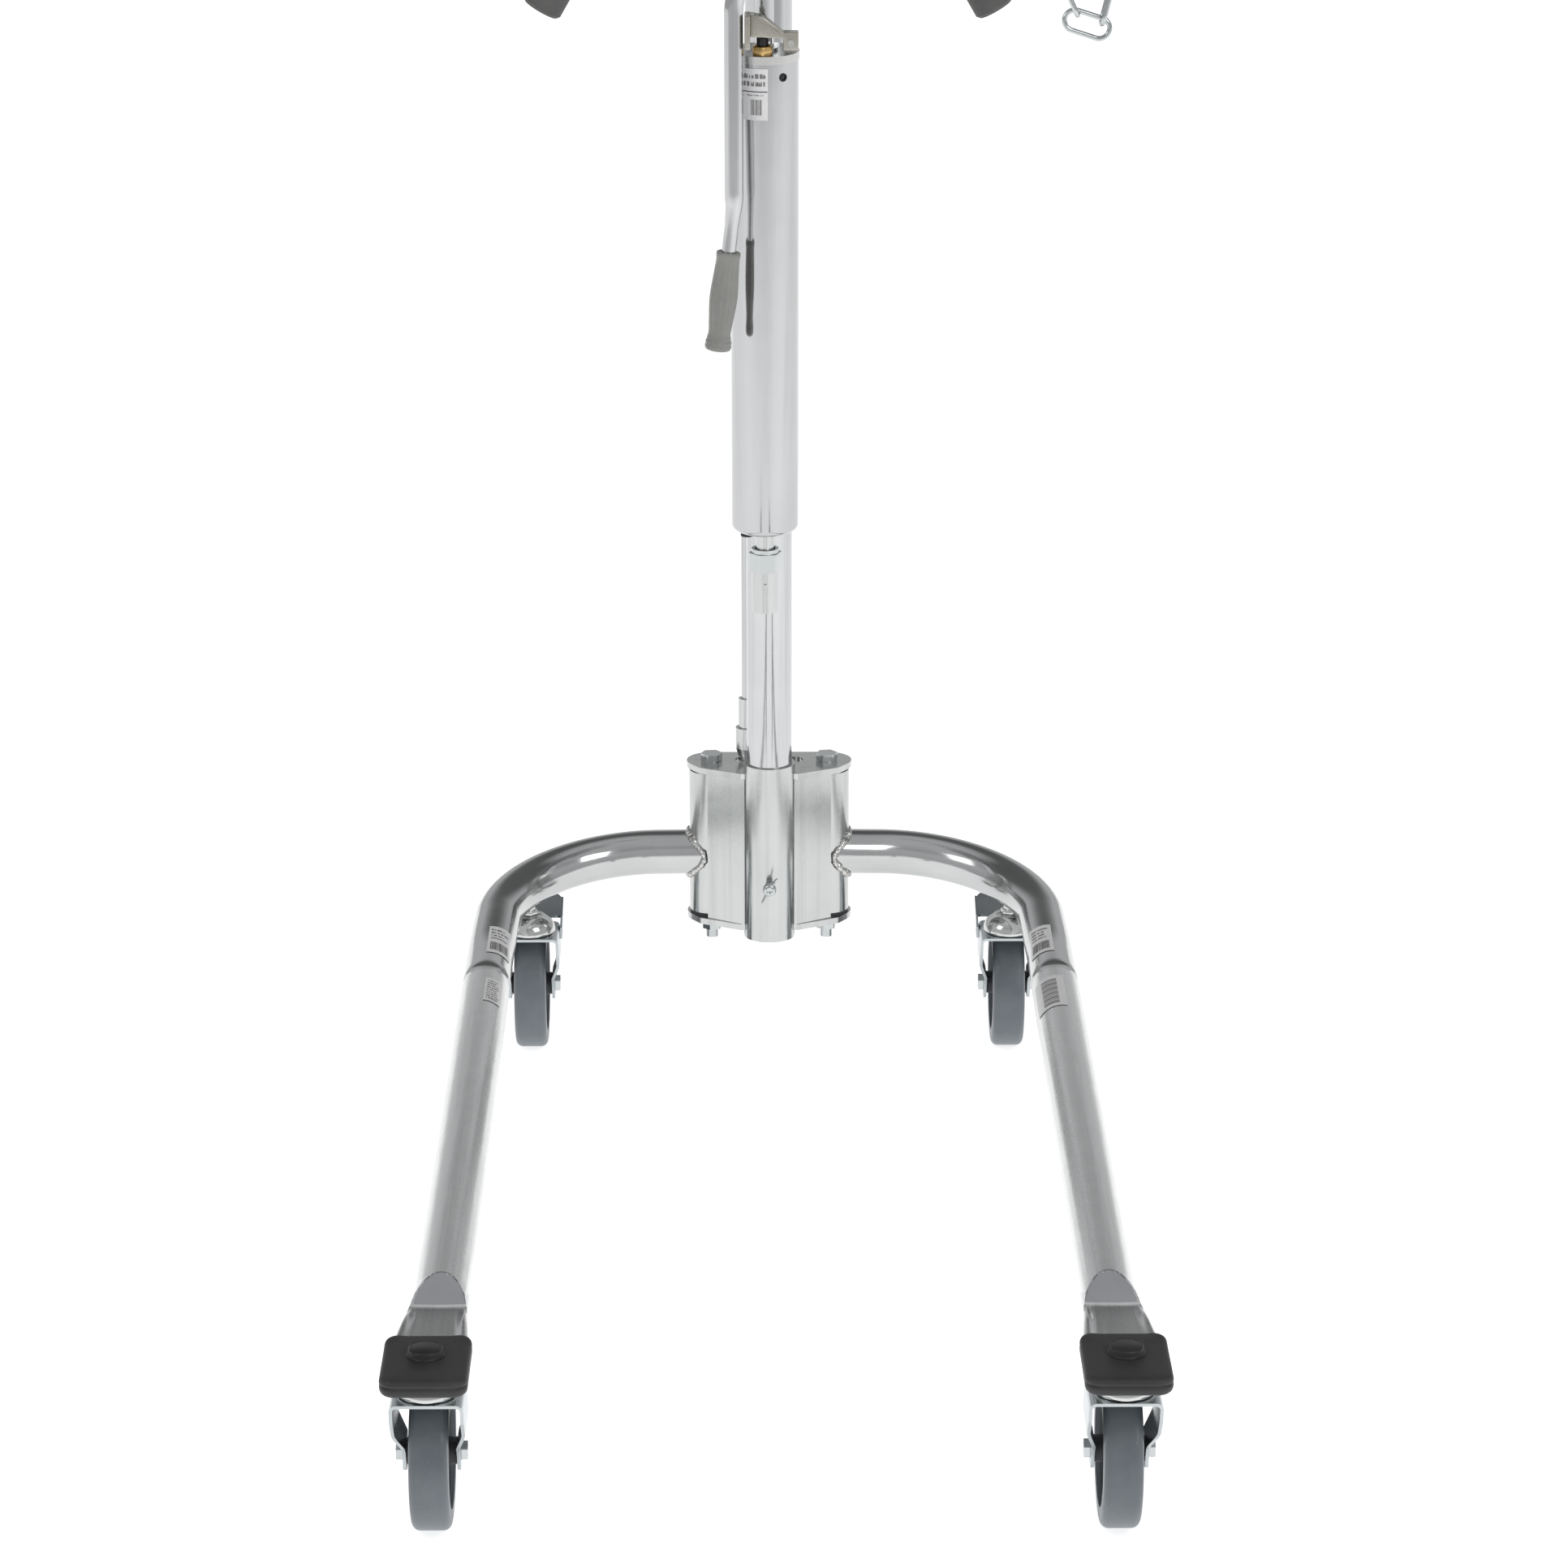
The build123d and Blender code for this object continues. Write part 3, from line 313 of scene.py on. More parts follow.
def piece(name, bm, material, body, replaced=(), sharp=38, more=()):
    mesh = bpy.data.meshes.new(name)
    bmesh.ops.recalc_face_normals(bm, faces=bm.faces[:])
    bm.to_mesh(mesh)
    bm.free()
    for m in (material, *more):
        mesh.materials.append(m)
    for polygon in mesh.polygons:
        polygon.use_smooth = True
    mesh.set_sharp_from_angle(angle=math.radians(sharp))
    ob = bpy.data.objects.new(name, mesh)
    bpy.context.scene.collection.objects.link(ob)
    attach(ob, body)
    if replaced:
        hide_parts(*replaced)
    return ob


def thick_line(points, radius_at, segments=10, closed=False, bm=None):
    """Round line through points, with a radius for each point."""
    rings = []
    normal = None
    count = len(points)
    for i, p in enumerate(points):
        ahead = points[(i + 1) % count] if closed or i < count - 1 else p
        behind = points[i - 1] if closed or i > 0 else p
        tangent = (ahead - behind).normalized()
        if normal is None:
            normal = tangent.orthogonal().normalized()
        normal = (normal - tangent * normal.dot(tangent)).normalized()
        other = tangent.cross(normal)
        r = radius_at(i)
        rings.append([p + (normal * math.cos(a) + other * math.sin(a)) * r
                      for a in (2 * math.pi * k / segments for k in range(segments))])
    if closed:
        rings.append(rings[0])
        bm = skin(rings, False, False, bm)
        bmesh.ops.remove_doubles(bm, verts=bm.verts[:], dist=1e-7)
        return bm
    return skin(rings, bm=bm)


def weld(name, points, radius, body, closed=False):
    """Weld bead with overlapping ripples and an uneven width."""
    steps = []
    for a, b in zip(points, points[1:] + ([points[0]] if closed else [])):
        length = (b - a).length
        n = max(1, round(length / 0.0009))
        steps += [a.lerp(b, k / n) for k in range(n)]
    if not closed:
        steps.append(points[-1])
    sizes = []
    wobble = 1.0
    for i in range(len(steps)):
        if i % 3 == 0:
            wobble = 1.0 + RNG.uniform(-0.22, 0.22)
        sizes.append(radius * wobble * (0.9 + 0.22 * abs(math.sin(i * 1.25))))
    jitter = [p + Vector([RNG.uniform(-1, 1) * radius * 0.12 for _ in range(3)]) for p in steps]
    return piece(name, thick_line(jitter, lambda i: sizes[i], 9, closed), WELD, body, sharp=60)


def sticker(name, node, axis_point, axis, outward, radius, length, sweep, body, bars=()):
    """Thin label wrapped on a piece's surface, with plain bars given as (from, to, low, high) shares."""
    base = NODES[node] if isinstance(node, str) else node
    mesh = base.data
    tree = BVHTree.FromPolygons([base.matrix_world @ v.co for v in mesh.vertices],
                                [tuple(p.vertices) for p in mesh.polygons])
    axis = Vector(axis).normalized()
    outward = (Vector(outward) - axis * Vector(outward).dot(axis)).normalized()
    across = axis.cross(outward)
    bm = bmesh.new()

    def patch(u0, u1, v0, v1, lift, index):
        columns = max(2, round(24 * (u1 - u0)))
        rows = []
        levels = max(1, round(12 * (v1 - v0)))
        for v in [v0 + (v1 - v0) * k / levels for k in range(levels + 1)]:
            row = []
            for k in range(columns + 1):
                angle = (u0 + (u1 - u0) * k / columns - 0.5) * sweep
                ray = outward * math.cos(angle) + across * math.sin(angle)
                spot = Vector(axis_point) + axis * (v - 0.5) * length + ray * radius
                near = tree.find_nearest(spot)[0]
                row.append(bm.verts.new(near + ray * lift))
            rows.append(row)
        for low, high in zip(rows, rows[1:]):
            for k in range(columns):
                face = bm.faces.new((low[k], low[k + 1], high[k + 1], high[k]))
                face.material_index = index

    patch(0, 1, 0, 1, 0.0005, 0)
    for bar in bars:
        patch(*bar, 0.00064, 1)
    return piece(name, bm, PAPER, body, more=(INK,))


def print_bars(kind, seed):
    """Plain rows or a barcode-like block, with no lettering."""
    rng = random.Random(seed)
    bars = []
    if kind in ("code", "both"):
        u = 0.12
        while u < 0.86:
            w = rng.choice((0.012, 0.02, 0.032))
            bars.append((u, u + w, 0.12, 0.44 if kind == "both" else 0.80))
            u += w + rng.choice((0.014, 0.022))
    if kind in ("rows", "both"):
        v = 0.90
        while v > (0.54 if kind == "both" else 0.14):
            bars += word_row(0.12, rng.uniform(0.6, 0.9), v - 0.045, v, rng)
            v -= 0.095
    return bars


def word_row(u, end, low, high, rng):
    """Row of small blocks with word-like gaps."""
    blocks = []
    while u < end:
        w = rng.uniform(0.016, 0.034)
        blocks.append((u, u + w, low, high - rng.choice((0, 0, 0.3)) * (high - low)))
        u += w + (rng.uniform(0.05, 0.07) if rng.random() < 0.16 else 0.012)
    return blocks


def between(y, rows):
    """Straight-line value from (position, value) pairs with falling positions."""
    if y >= rows[0][0]:
        return rows[0][1]
    for (y0, v0), (y1, v1) in zip(rows, rows[1:]):
        if y >= y1:
            return v0 + (v1 - v0) * (y0 - y) / (y0 - y1)
    return rows[-1][1]


def ease(a, b, t):
    t = min(max((t - a) / (b - a), 0.0), 1.0)
    return t * t * (3 - 2 * t)


# ---- leg tubes with their pressed front ends ---------------------------------------------------------
LEG_X = (box("right_leg_bend")[1].x - 0.02225) * 1000
TUBE_REAR = box("right_leg_tube")[1].y * 1000
LEG_Z = 165.0
TUBE_RADIUS = 22.5
TUBE_POINTS = 120
APEX_Y = -440.0
CREASE_Y = -468.0
HALF_WIDTH = [(APEX_Y, TUBE_RADIUS), (CREASE_Y, 23.6), (-486, 26.2), (-524, 30.4), (-565, 30.9)]
CENTRE_X = [(APEX_Y, LEG_X), (-522, LEG_X + 3.4)]
CUT = [(APEX_Y, TUBE_RADIUS), (CREASE_Y, 6.6), (CREASE_Y - 0.7, 5.0), (-524, 2.4), (-565, 0.4)]
BOTTOM = [(APEX_Y - 5, TUBE_RADIUS), (CREASE_Y, 14.0), (-490, 11.0), (-524, 8.0), (-565, 5.5)]
EDGE = [(APEX_Y, 0.0), (CREASE_Y, -2.0), (-524, -3.0)]
LOBE = [(CREASE_Y, 0.0), (CREASE_Y - 8, 3.4), (-500, 4.4), (-524, 3.0), (-565, 0.4)]


def leg_section(y):
    """Section of the right leg tube at a station, in the X-Z plane."""
    half, centre = between(y, HALF_WIDTH), between(y, CENTRE_X)
    cut, low, edge = between(y, CUT), between(y, BOTTOM), between(y, EDGE)
    flat = ease(0.0, 1.0, (CREASE_Y - y) / 26) if y < CREASE_Y else 0.0
    points = []
    for k in range(TUBE_POINTS):
        turn = 2 * math.pi * k / TUBE_POINTS
        u = math.cos(turn)
        arc = math.sqrt(max(0.0, 1 - u * u))
        if math.sin(turn) >= 0:
            round_top = min(TUBE_RADIUS * arc, cut + 0.9 * (1 - arc) * ease(APEX_Y, CREASE_Y, y))
            rim = math.sqrt(max(0.0, 1 - max(0.0, (abs(u) - 0.84) / 0.16) ** 2))
            dog = edge + (cut + between(y, LOBE) * ease(0.58, 0.84, abs(u)) - edge) * rim
            z = round_top * (1 - flat) + dog * flat
        else:
            power = 2 + 3 * flat
            z = edge * flat - (low + edge * flat) * (1 - abs(u) ** power) ** (1 / power)
        points.append((centre + half * u, LEG_Z + z))
    return points


def leg_tube(side, sign):
    stations = [TUBE_REAR - 0.4 - 6 * k for k in range(200) if TUBE_REAR - 6 * k > APEX_Y + 4]
    stations += [APEX_Y + 2 - 1.5 * k for k in range(29) if APEX_Y + 2 - 1.5 * k > CREASE_Y]
    stations += [CREASE_Y + 0.4, CREASE_Y, CREASE_Y - 0.35, CREASE_Y - 0.7, CREASE_Y - 1.6]
    stations += [CREASE_Y - 4 - 3 * k for k in range(31)]
    rings = []
    for radius, y in ((20.8, TUBE_REAR - 14), (20.8, TUBE_REAR - 0.3), (21.2, TUBE_REAR), (22.1, TUBE_REAR)):
        turns = [2 * math.pi * k / TUBE_POINTS for k in range(TUBE_POINTS)]
        rings.append([Vector((sign * (LEG_X + radius * math.cos(turn)), y,
                              LEG_Z + radius * math.sin(turn))) / 1000 for turn in turns])
    for y in stations:
        rings.append([Vector((sign * x, y, z)) / 1000 for x, z in leg_section(y)])
    bm = skin(rings, start_cap=False)
    # Faces on the pressed facet get the darker zinc, painted shade for its dark reflection.
    for face in bm.faces:
        spot = face.calc_center_median() * 1000
        inset = LEG_Z + 0.98 * math.sqrt(max(0.0, TUBE_RADIUS ** 2 - (abs(spot.x) - LEG_X) ** 2)) - spot.z
        if CREASE_Y < spot.y < APEX_Y and spot.z > LEG_Z and inset > 0:
            face.material_index = 1
    return piece(f"{side}_leg_tube_drawn", bm, SATIN, f"{side}_leg", (f"{side}_leg_tube",), sharp=22,
                 more=(FACET_PAINTED_DARK,))


# ---- rubber tip pads --------------------------------------------------------------------------------
PAD_LEVELS = [
    (0.0, 6.0), (0.3, 3.8), (1.0, 2.1), (2.2, 0.9), (3.8, 0.25), (5.6, 0.0), (7.0, 0.0),
    (7.6, 0.25), (8.2, 0.8), (9.0, 0.9), (9.6, 0.3), (10.1, 0.0), (11.2, 0.0),
    (12.4, 0.35), (13.4, 1.0), (14.3, 2.3), (14.8, 3.9), (15.0, 6.0),
    (15.25, 10.0), (15.35, 18.0), (15.35, 28.0),
]


def pad_ring(low, high, inset, height, groove):
    """Rounded outline of the pad at one level."""
    middle_x, middle_y = (low.x + high.x) / 2, (low.y + high.y) / 2
    full_x, full_y = (high.x - low.x) / 2, (high.y - low.y) / 2
    hx, hy = full_x - inset, full_y - inset
    corner = max(13.0 - inset, 2.0)
    ring = []
    for quarter in range(4):
        cx = (hx - corner) * (1 if quarter in (0, 3) else -1)
        cy = (hy - corner) * (1 if quarter in (0, 1) else -1)
        for k in range(15):
            turn = math.pi / 2 * (quarter + k / 14)
            ring.append((cx + corner * math.cos(turn), cy + corner * math.sin(turn)))
        if quarter in (0, 2):
            x0, y0 = ring[-1]
            for k in range(1, 14):
                ring.append((x0 * (1 - 2 * k / 14), y0))
        else:
            x0, y0 = ring[-1]
            for k in range(1, 14):
                ring.append((x0, y0 * (1 - 2 * k / 14)))
    points = []
    for x, y in ring:
        front = ease(full_y * 0.72, full_y, -y)
        corners = ease(full_x * 0.66, full_x * 0.86, abs(x))
        bite = groove * (0.25 + 0.75 * front) * (1.0 + 0.9 * front * corners)
        scale = 1 - bite / full_y
        lift = 1.8 * ease(0.45, 1.0, abs(x) / full_x) * ease(0.5, 1.0, y / full_y) * height / 15
        points.append(Vector((middle_x + x * scale, middle_y + y * scale, low.z + height + lift)) / 1000)
    return points


PAD_CAP = [(0, 13.0), (15.6, 13.0), (15.4, 15.7), (14.2, 16.0), (13.75, 16.8), (13.7, 20.4), (13.2, 21.2),
           (12.6, 21.5), (12.1, 21.2), (11.6, 21.45), (0, 21.5)]


def tip_pad(side):
    low, high = (v * 1000 for v in box(f"{side}_tip_pad"))
    rings = []
    for height, inset in PAD_LEVELS:
        groove = inset if 7.4 < height < 9.8 else 0.0
        rings.append(pad_ring(low, high, 0.0 if groove else inset, height, groove))
    bm = skin(rings)
    sign = -1 if side == "left" else 1
    place = Matrix.Translation((sign * 0.274, -0.561, low.z / 1000))
    cap = lathe(PAD_CAP, place, 64)
    piece(f"{side}_tip_pad_cap", cap, CAP_RUBBER, f"{side}_leg", sharp=50)
    return piece(f"{side}_tip_pad_moulded", bm, PAD, f"{side}_leg", (f"{side}_tip_pad",),
                 sharp=50)


# ---- bent tubes ------------------------------------------------------------------------------------
def rounded_path(points, radii, step):
    """Points along straight runs joined by tangent arcs, in millimetres."""
    path = [points[0]]
    for before, corner, after, radius in zip(points, points[1:], points[2:], radii):
        a, b = (before - corner).normalized(), (after - corner).normalized()
        half = a.angle(b) / 2
        reach = radius / math.tan(half)
        start, end = corner + a * reach, corner + b * reach
        centre = corner + (a + b).normalized() * (radius / math.sin(half))
        sweep = math.pi - 2 * half
        count = max(6, round(sweep * radius / step))
        u, v = start - centre, end - centre
        straight = (start - path[-1]).length
        for k in range(1, max(2, round(straight / step / 2))):
            path.append(path[-1].lerp(start, 1 / (max(2, round(straight / step / 2)) - k + 1)))
        for k in range(count + 1):
            t = k / count
            path.append(centre + (u * math.sin((1 - t) * sweep) + v * math.sin(t * sweep)) / math.sin(sweep))
    tail = points[-1] - path[-1]
    base = path[-1]
    path += [base + tail * (k / 6) for k in range(1, 7)]
    return path


def tube_along(path, radius_at, segments=72):
    """Tube through points in millimetres, with a radius for each share of its length."""
    metres = [p / 1000 for p in path]
    total = sum((b - a).length for a, b in zip(metres, metres[1:]))
    shares, run = [0.0], 0.0
    for a, b in zip(metres, metres[1:]):
        run += (b - a).length
        shares.append(run / total)
    return thick_line(metres, lambda i: radius_at(shares[i] * total * 1000, total * 1000) / 1000, segments)


def coped(offset, run, radius):
    """How far along a run a line leaves an upright cylinder of this radius."""
    a = run.x ** 2 + run.y ** 2
    b = 2 * (offset.x * run.x + offset.y * run.y)
    c = offset.x ** 2 + offset.y ** 2 - radius ** 2
    return (-b + math.sqrt(max(0.0, b * b - 4 * a * c))) / (2 * a)


def bend_start(sign):
    """Centre of a leg's pivot tube and the direction in which its bend leaves, in metres."""
    pivot = Vector((sign * 0.057, 0.551, 0.202))
    run = (Vector((sign * 0.259, 0.580, 0.190)) - pivot).normalized()
    return pivot, run


def leg_bend(side, sign):
    """Bent tube with the swaged neck that enters the straight tube."""
    corners = [Vector(p) for p in ((57, 551, 202), (259, 580, 190), (268.5, 345, 165), (268.5, 240, 165))]
    corners[0] = corners[0].lerp(corners[1], 20.6 / (corners[1] - corners[0]).length)
    path = rounded_path([Vector((sign * p.x, p.y, p.z)) for p in corners], [137, 300], 2.5)
    tail = [p for p in path if p.y > 278]
    tail += [Vector((sign * 268.5, y, 165)) for y in (276.5, 275.2, 273.8, 272, 270, 267.5, 262, 250, 240)]
    neck = {276.5: 22.2, 275.2: 21.9, 273.8: 21.4, 272: 21.0, 270: 20.75, 267.5: 20.65}

    def radius(at, total):
        y = 240 + (total - at)
        return 22.25 if y > 277 else between(y, sorted(neck.items(), reverse=True) + [(240, 20.6)])

    bm = tube_along(tail, radius, 84)
    pivot, run = bend_start(sign)
    start = [v for v in bm.verts if (v.co - pivot).dot(run) < 0.0207]
    cap = [f for f in bm.faces if len(f.verts) > 4 and all(v in start for v in f.verts)]
    bmesh.ops.delete(bm, geom=cap, context="FACES_ONLY")
    for vert in start:
        vert.co -= run * (vert.co - pivot).dot(run)
        vert.co += run * coped(vert.co - pivot, run, 0.0218)
    return piece(f"{side}_leg_bend_drawn", bm, BEND, f"{side}_leg", (f"{side}_leg_bend",), sharp=45)


def pump_handle():
    """Handle tube, bent at its lower end where the rod for the grip comes out."""
    path = rounded_path([Vector((-20, 397, 1109.6)), Vector((-32.5, 397, 1072)), Vector((-32.5, 397, 886)),
                         Vector((-44.7, 397, 780.5))], [60, 34], 1.6)

    def radius(at, total):
        left = total - at
        return 6.6 + 2.15 * ease(90, 116, left)

    bm = tube_along(path, radius, 64)
    return piece("pump_handle_drawn", bm, CHROME, "pump_lever", ("pump_handle",), sharp=45)


# ---- caster stems -----------------------------------------------------------------------------------
RACE = [(0, 126.7), (8.4, 126.7), (8.4, 130.6), (5.95, 130.9), (5.95, 134.4), (25.0, 134.4), (25.6, 135.0),
        (25.8, 136.2), (25.6, 138.0), (24.9, 140.4), (23.8, 142.9), (22.3, 145.2), (20.4, 147.2),
        (18.2, 148.9), (16.0, 150.3), (14.6, 151.1), (13.3, 151.5), (12.3, 151.2), (11.8, 150.3),
        (11.4, 149.5), (0, 149.4)]
RACE_NUT = [(0, 149.0), (7.6, 149.0), (8.0, 149.5), (8.0, 155.4), (7.4, 156.3), (6.4, 156.5), (0, 156.5)]


def caster_stems(side, sign):
    """Domed ball races with their nuts and stems."""
    bm = bmesh.new()
    for x, y, top in ((274.0, -549.0, 172.3), (238.0, 508.0, 185.8)):
        place = Matrix.Translation((sign * x / 1000, y / 1000, 0))
        lathe(RACE, place, 96, bm)
        turned_nut = place @ Matrix.Rotation(math.radians(12), 4, "Z")
        lathe(RACE_NUT, turned_nut, 72, bm, hex_profile())
        lathe([(0, 154.0), (6.0, 154.0), (6.0, top - 0.5), (5.5, top), (0, top)], place, 48, bm)
    return piece(f"{side}_caster_stems_pressed", bm, RACE_METAL, f"{side}_leg",
                 (f"{side}_caster_stems",), sharp=42)


# ---- weld beads -----------------------------------------------------------------------------------
def saddle(sign):
    """Curve where a bend meets its pivot tube."""
    pivot, run = bend_start(sign)
    across = run.cross(Vector((0, 0, 1))).normalized()
    up = across.cross(run)
    points = []
    for k in range(48):
        turn = 2 * math.pi * k / 48
        offset = (across * math.cos(turn) + up * math.sin(turn)) * 0.0228
        points.append(pivot + offset + run * coped(offset, run, 0.0228))
    for _ in range(5):
        points = [(points[k - 1] + points[k] * 2 + points[(k + 1) % 48]) / 4 for k in range(48)]
    return points


# ---- jack details -----------------------------------------------------------------------------------
JACK = Matrix.Translation((-0.004, 0.458, 0.524)) @ Matrix.Rotation(math.radians(2.847), 4, "X")


def jack_point(x, y, z):
    return JACK @ Vector((x / 1000, y / 1000, z / 1000))


def yoke():
    """Cast yoke with bevelled edges and its cheek."""
    outline = [(-17.5, 1040), (-17.5, 1060.7), (-5, 1058.3), (13, 1043.8), (27, 1043.8), (27, 1027.7),
               (13, 1027.7), (13, 1038.3)]
    low, high = (v * 1000 for v in box("pump_yoke"))
    bm = bmesh.new()
    blocks = [[(x, z, 402.5, 420.0) for x, z in outline]]
    cheek = [(-22.6, 1030.2), (-22.6, 1060.8), (-17.3, 1060.8), (-17.3, 1030.2)]
    blocks.append([(x, z, low.y + 0.1, high.y - 0.1) for x, z in cheek])
    for rows in blocks:
        front = [bm.verts.new(Vector((x, y, z)) / 1000) for x, z, y, _ in rows]
        back = [bm.verts.new(Vector((x, y, z)) / 1000) for x, z, _, y in rows]
        bm.faces.new(front)
        bm.faces.new(back[::-1])
        for i in range(len(front)):
            j = (i + 1) % len(front)
            bm.faces.new((front[j], front[i], back[i], back[j]))
    bmesh.ops.recalc_face_normals(bm, faces=bm.faces[:])
    bmesh.ops.bevel(bm, geom=bm.edges[:], offset=0.0012, segments=3, affect="EDGES", profile=0.6)
    return piece("pump_yoke_cast", bm, CAST, "pump_lever", ("pump_yoke",), sharp=50)


def grip():
    """Fluted vinyl grip with a flared end."""
    angle = math.atan2(12.0, 104.0)
    place = Matrix.Translation((-0.0325, 0.397, 0.886)) @ Matrix.Rotation(angle, 4, "Y")

    def flutes(turn, z):
        window = ease(-120, -112, z) * (1 - ease(-60, -52, z))
        return 1 + 0.030 * window * math.cos(14 * turn)

    profile = [(0, -137.6), (9.4, -137.8), (11.4, -137.0), (12.3, -135.2), (12.4, -133.0), (11.9, -131.4),
               (12.3, -130.2), (11.8, -128.4), (11.1, -127.0), (11.4, -126.0), (10.8, -124.2), (10.5, -122.0),
               (10.5, -120.5)]
    profile += [(10.5 + 2.1 * ease(-120, -88, z) - 1.8 * ease(-88, -53, z), z) for z in range(-118, -50, 3)]
    profile += [(10.9, -50.0), (11.2, -48.5), (11.3, -46.2), (10.9, -44.6), (9.6, -44.1), (7.2, -44.6),
                (0, -46.0)]
    bm = lathe(profile, place, 112, ripple=flutes)
    return piece("pump_handle_grip_fluted", bm, GRIP_GREY, "pump_lever", ("pump_handle_grip",),
                 sharp=60)


def wing_screw():
    """Wing screw with a dished head and two bent wings."""
    place = along((0, 0.4772, 0.188), (0, -1, 0))
    bm = lathe([(0, -13), (4.0, -13), (4.0, -1.2), (5.2, -0.8), (6.4, 0.4), (6.6, 2.6), (6.1, 4.2),
                (4.9, 5.4), (3.4, 5.9), (2.8, 5.2), (0, 5.0)], place, 48)
    for sign in (-1, 1):
        rings = []
        for k in range(9):
            t = k / 8
            reach = (4.0 + 10.4 * t) * sign
            turn = math.radians(60)
            wide = 1.9 + 2.3 * math.sin(math.pi * min(1.0, 0.15 + 0.85 * t)) ** 0.8
            thick = 1.5 - 0.5 * t
            forward = -2.6 * t * t
            ring = []
            for q in range(16):
                a = 2 * math.pi * q / 16
                u, v = wide * math.cos(a), thick * math.sin(a)
                dx = reach * math.cos(turn) - v * math.sin(turn)
                dz = reach * math.sin(turn) + v * math.cos(turn)
                ring.append(Vector((dx, 474.2 + forward + u * 0.8, 188 + dz)) / 1000)
            rings.append(ring)
        skin(rings, bm=bm)
    return piece("wing_screw_pressed", bm, BOLT, "locking_screw", ("wing_screw",), sharp=50)


THREAD_DEPTH = 0.75


def thread(low, high, radius, pitch, place, bm=None):
    """Ring-grooved stand-in for a screw thread."""
    profile = [(0, low)]
    z = low + 0.4
    while z < high:
        profile += [(radius - THREAD_DEPTH, z), (radius, z + pitch * 0.35), (radius, z + pitch * 0.5),
                    (radius - THREAD_DEPTH, z + pitch * 0.9)]
        z += pitch
    return lathe(profile + [(0, high)], place, 40, bm)


DRAWN = {}
for side, sign in (("left", -1), ("right", 1)):
    DRAWN[f"{side}_leg_tube"] = leg_tube(side, sign)
    tip_pad(side)
    DRAWN[f"{side}_leg_bend"] = leg_bend(side, sign)
    caster_stems(side, sign)
    weld(f"{side}_bend_weld", saddle(sign), 0.0034, f"{side}_leg", closed=True)
    ends = thread(112.6, 122.2, 6.1, 1.75, Matrix.Translation((sign * 0.057, 0.551, 0)))
    piece(f"{side}_pivot_thread", ends, BOLT, "frame")

yoke()
pump_handle()
grip()
wing_screw()

gland = Matrix.Translation(jack_point(-2, -21, 0)) @ JACK.to_3x3().to_4x4()
hex_ring = lathe([(0, 500.1), (8.55, 500.1), (8.9, 500.6), (8.9, 507.4), (8.4, 508.3), (7.2, 508.9),
                  (5.7, 508.9), (5.65, 507.0), (0, 507.0)], gland, 72, ripple=hex_profile())
piece("gland_nut", hex_ring, BRASS, "frame")

plug_turn = math.radians(32)
plug_out = JACK.to_3x3() @ Vector((math.sin(plug_turn), -math.cos(plug_turn), 0))
plug_spot = jack_point(0, 0, 480) + plug_out * 0.0312
plug = lathe([(0, -1), (4.0, -1), (4.0, 1.0), (3.6, 1.6), (2.3, 1.7), (2.0, 0.6), (0, 0.5)],
             along(plug_spot, plug_out), 40)
piece("pump_plug", plug, BLACK_STEEL, "frame")

for edge, x in (("right", 0.0018), ("left", -0.0098)):
    seam = [Vector((x, 0.4935, 0.484 + 0.031 * k / 8)) for k in range(9)]
    weld(f"jack_web_weld_{edge}", seam, 0.0016, "frame")

# ---- labels -----------------------------------------------------------------------------------------
for side, sign in (("left", -1), ("right", 1)):
    inward = Vector((-sign * math.cos(math.radians(62)), 0, math.sin(math.radians(62))))
    slope = Vector((0, 1, 0.106 if side == "left" else 0.10))
    axis_x = sign * LEG_X / 1000
    if side == "left":
        sticker("left_leg_label", DRAWN["left_leg_tube"], (axis_x, 0.204, 0.165), (0, 1, 0), inward,
                0.0225, 0.058, 0.78, "left_leg", print_bars("rows", 3))
    else:
        table = [(0.30, 0.78, 0.10 + 0.05 * k, 0.10 + 0.05 * k + 0.03 * (0.6 + 0.4 * (k % 3 == 0)))
                 for k in range(16)]
        sticker("right_leg_label", DRAWN["right_leg_tube"], (axis_x, 0.196, 0.165), (0, 1, 0), inward,
                0.0225, 0.078, 1.40, "right_leg", table)
    sticker(f"{side}_bend_label", DRAWN[f"{side}_leg_bend"], (axis_x, 0.337, 0.166), slope, inward,
            0.0223, 0.064, 1.08, f"{side}_leg", print_bars("both", 5 if side == "left" else 9))

pump_turn = math.radians(-16.5)
pump_out = JACK.to_3x3() @ Vector((math.sin(pump_turn), -math.cos(pump_turn), 0))
pump_axis = JACK.to_3x3() @ Vector((0, 0, 1))
pump_rng = random.Random(11)
pump_bars = word_row(0.04, 0.88, 0.81, 0.90, pump_rng) + word_row(0.04, 0.94, 0.66, 0.75, pump_rng)
pump_bars += [(0.02, 0.98, 0.545, 0.565)] + word_row(0.20, 0.86, 0.475, 0.50, pump_rng)
pump_bars += [(0.34 + 0.05 * k, 0.34 + 0.05 * k + (0.018, 0.03, 0.022)[k % 3], 0.10, 0.40) for k in range(9)]
sticker("pump_label", "pump_cylinder", jack_point(0, 0, 465), pump_axis, pump_out, 0.03175, 0.048, 0.75,
        "frame", pump_bars)


# ---- stage, camera and light ----------------------------------------------------------------------
GLOW = 0.70
FRONT_GLOW = 0.25
FADE_START, FADE_END = -3.4, -0.8
SKY_STRENGTH = 0.58
FLOOR = [(-12, -14, 0), (12, -14, 0), (12, 16, 0), (-12, 16, 0)]


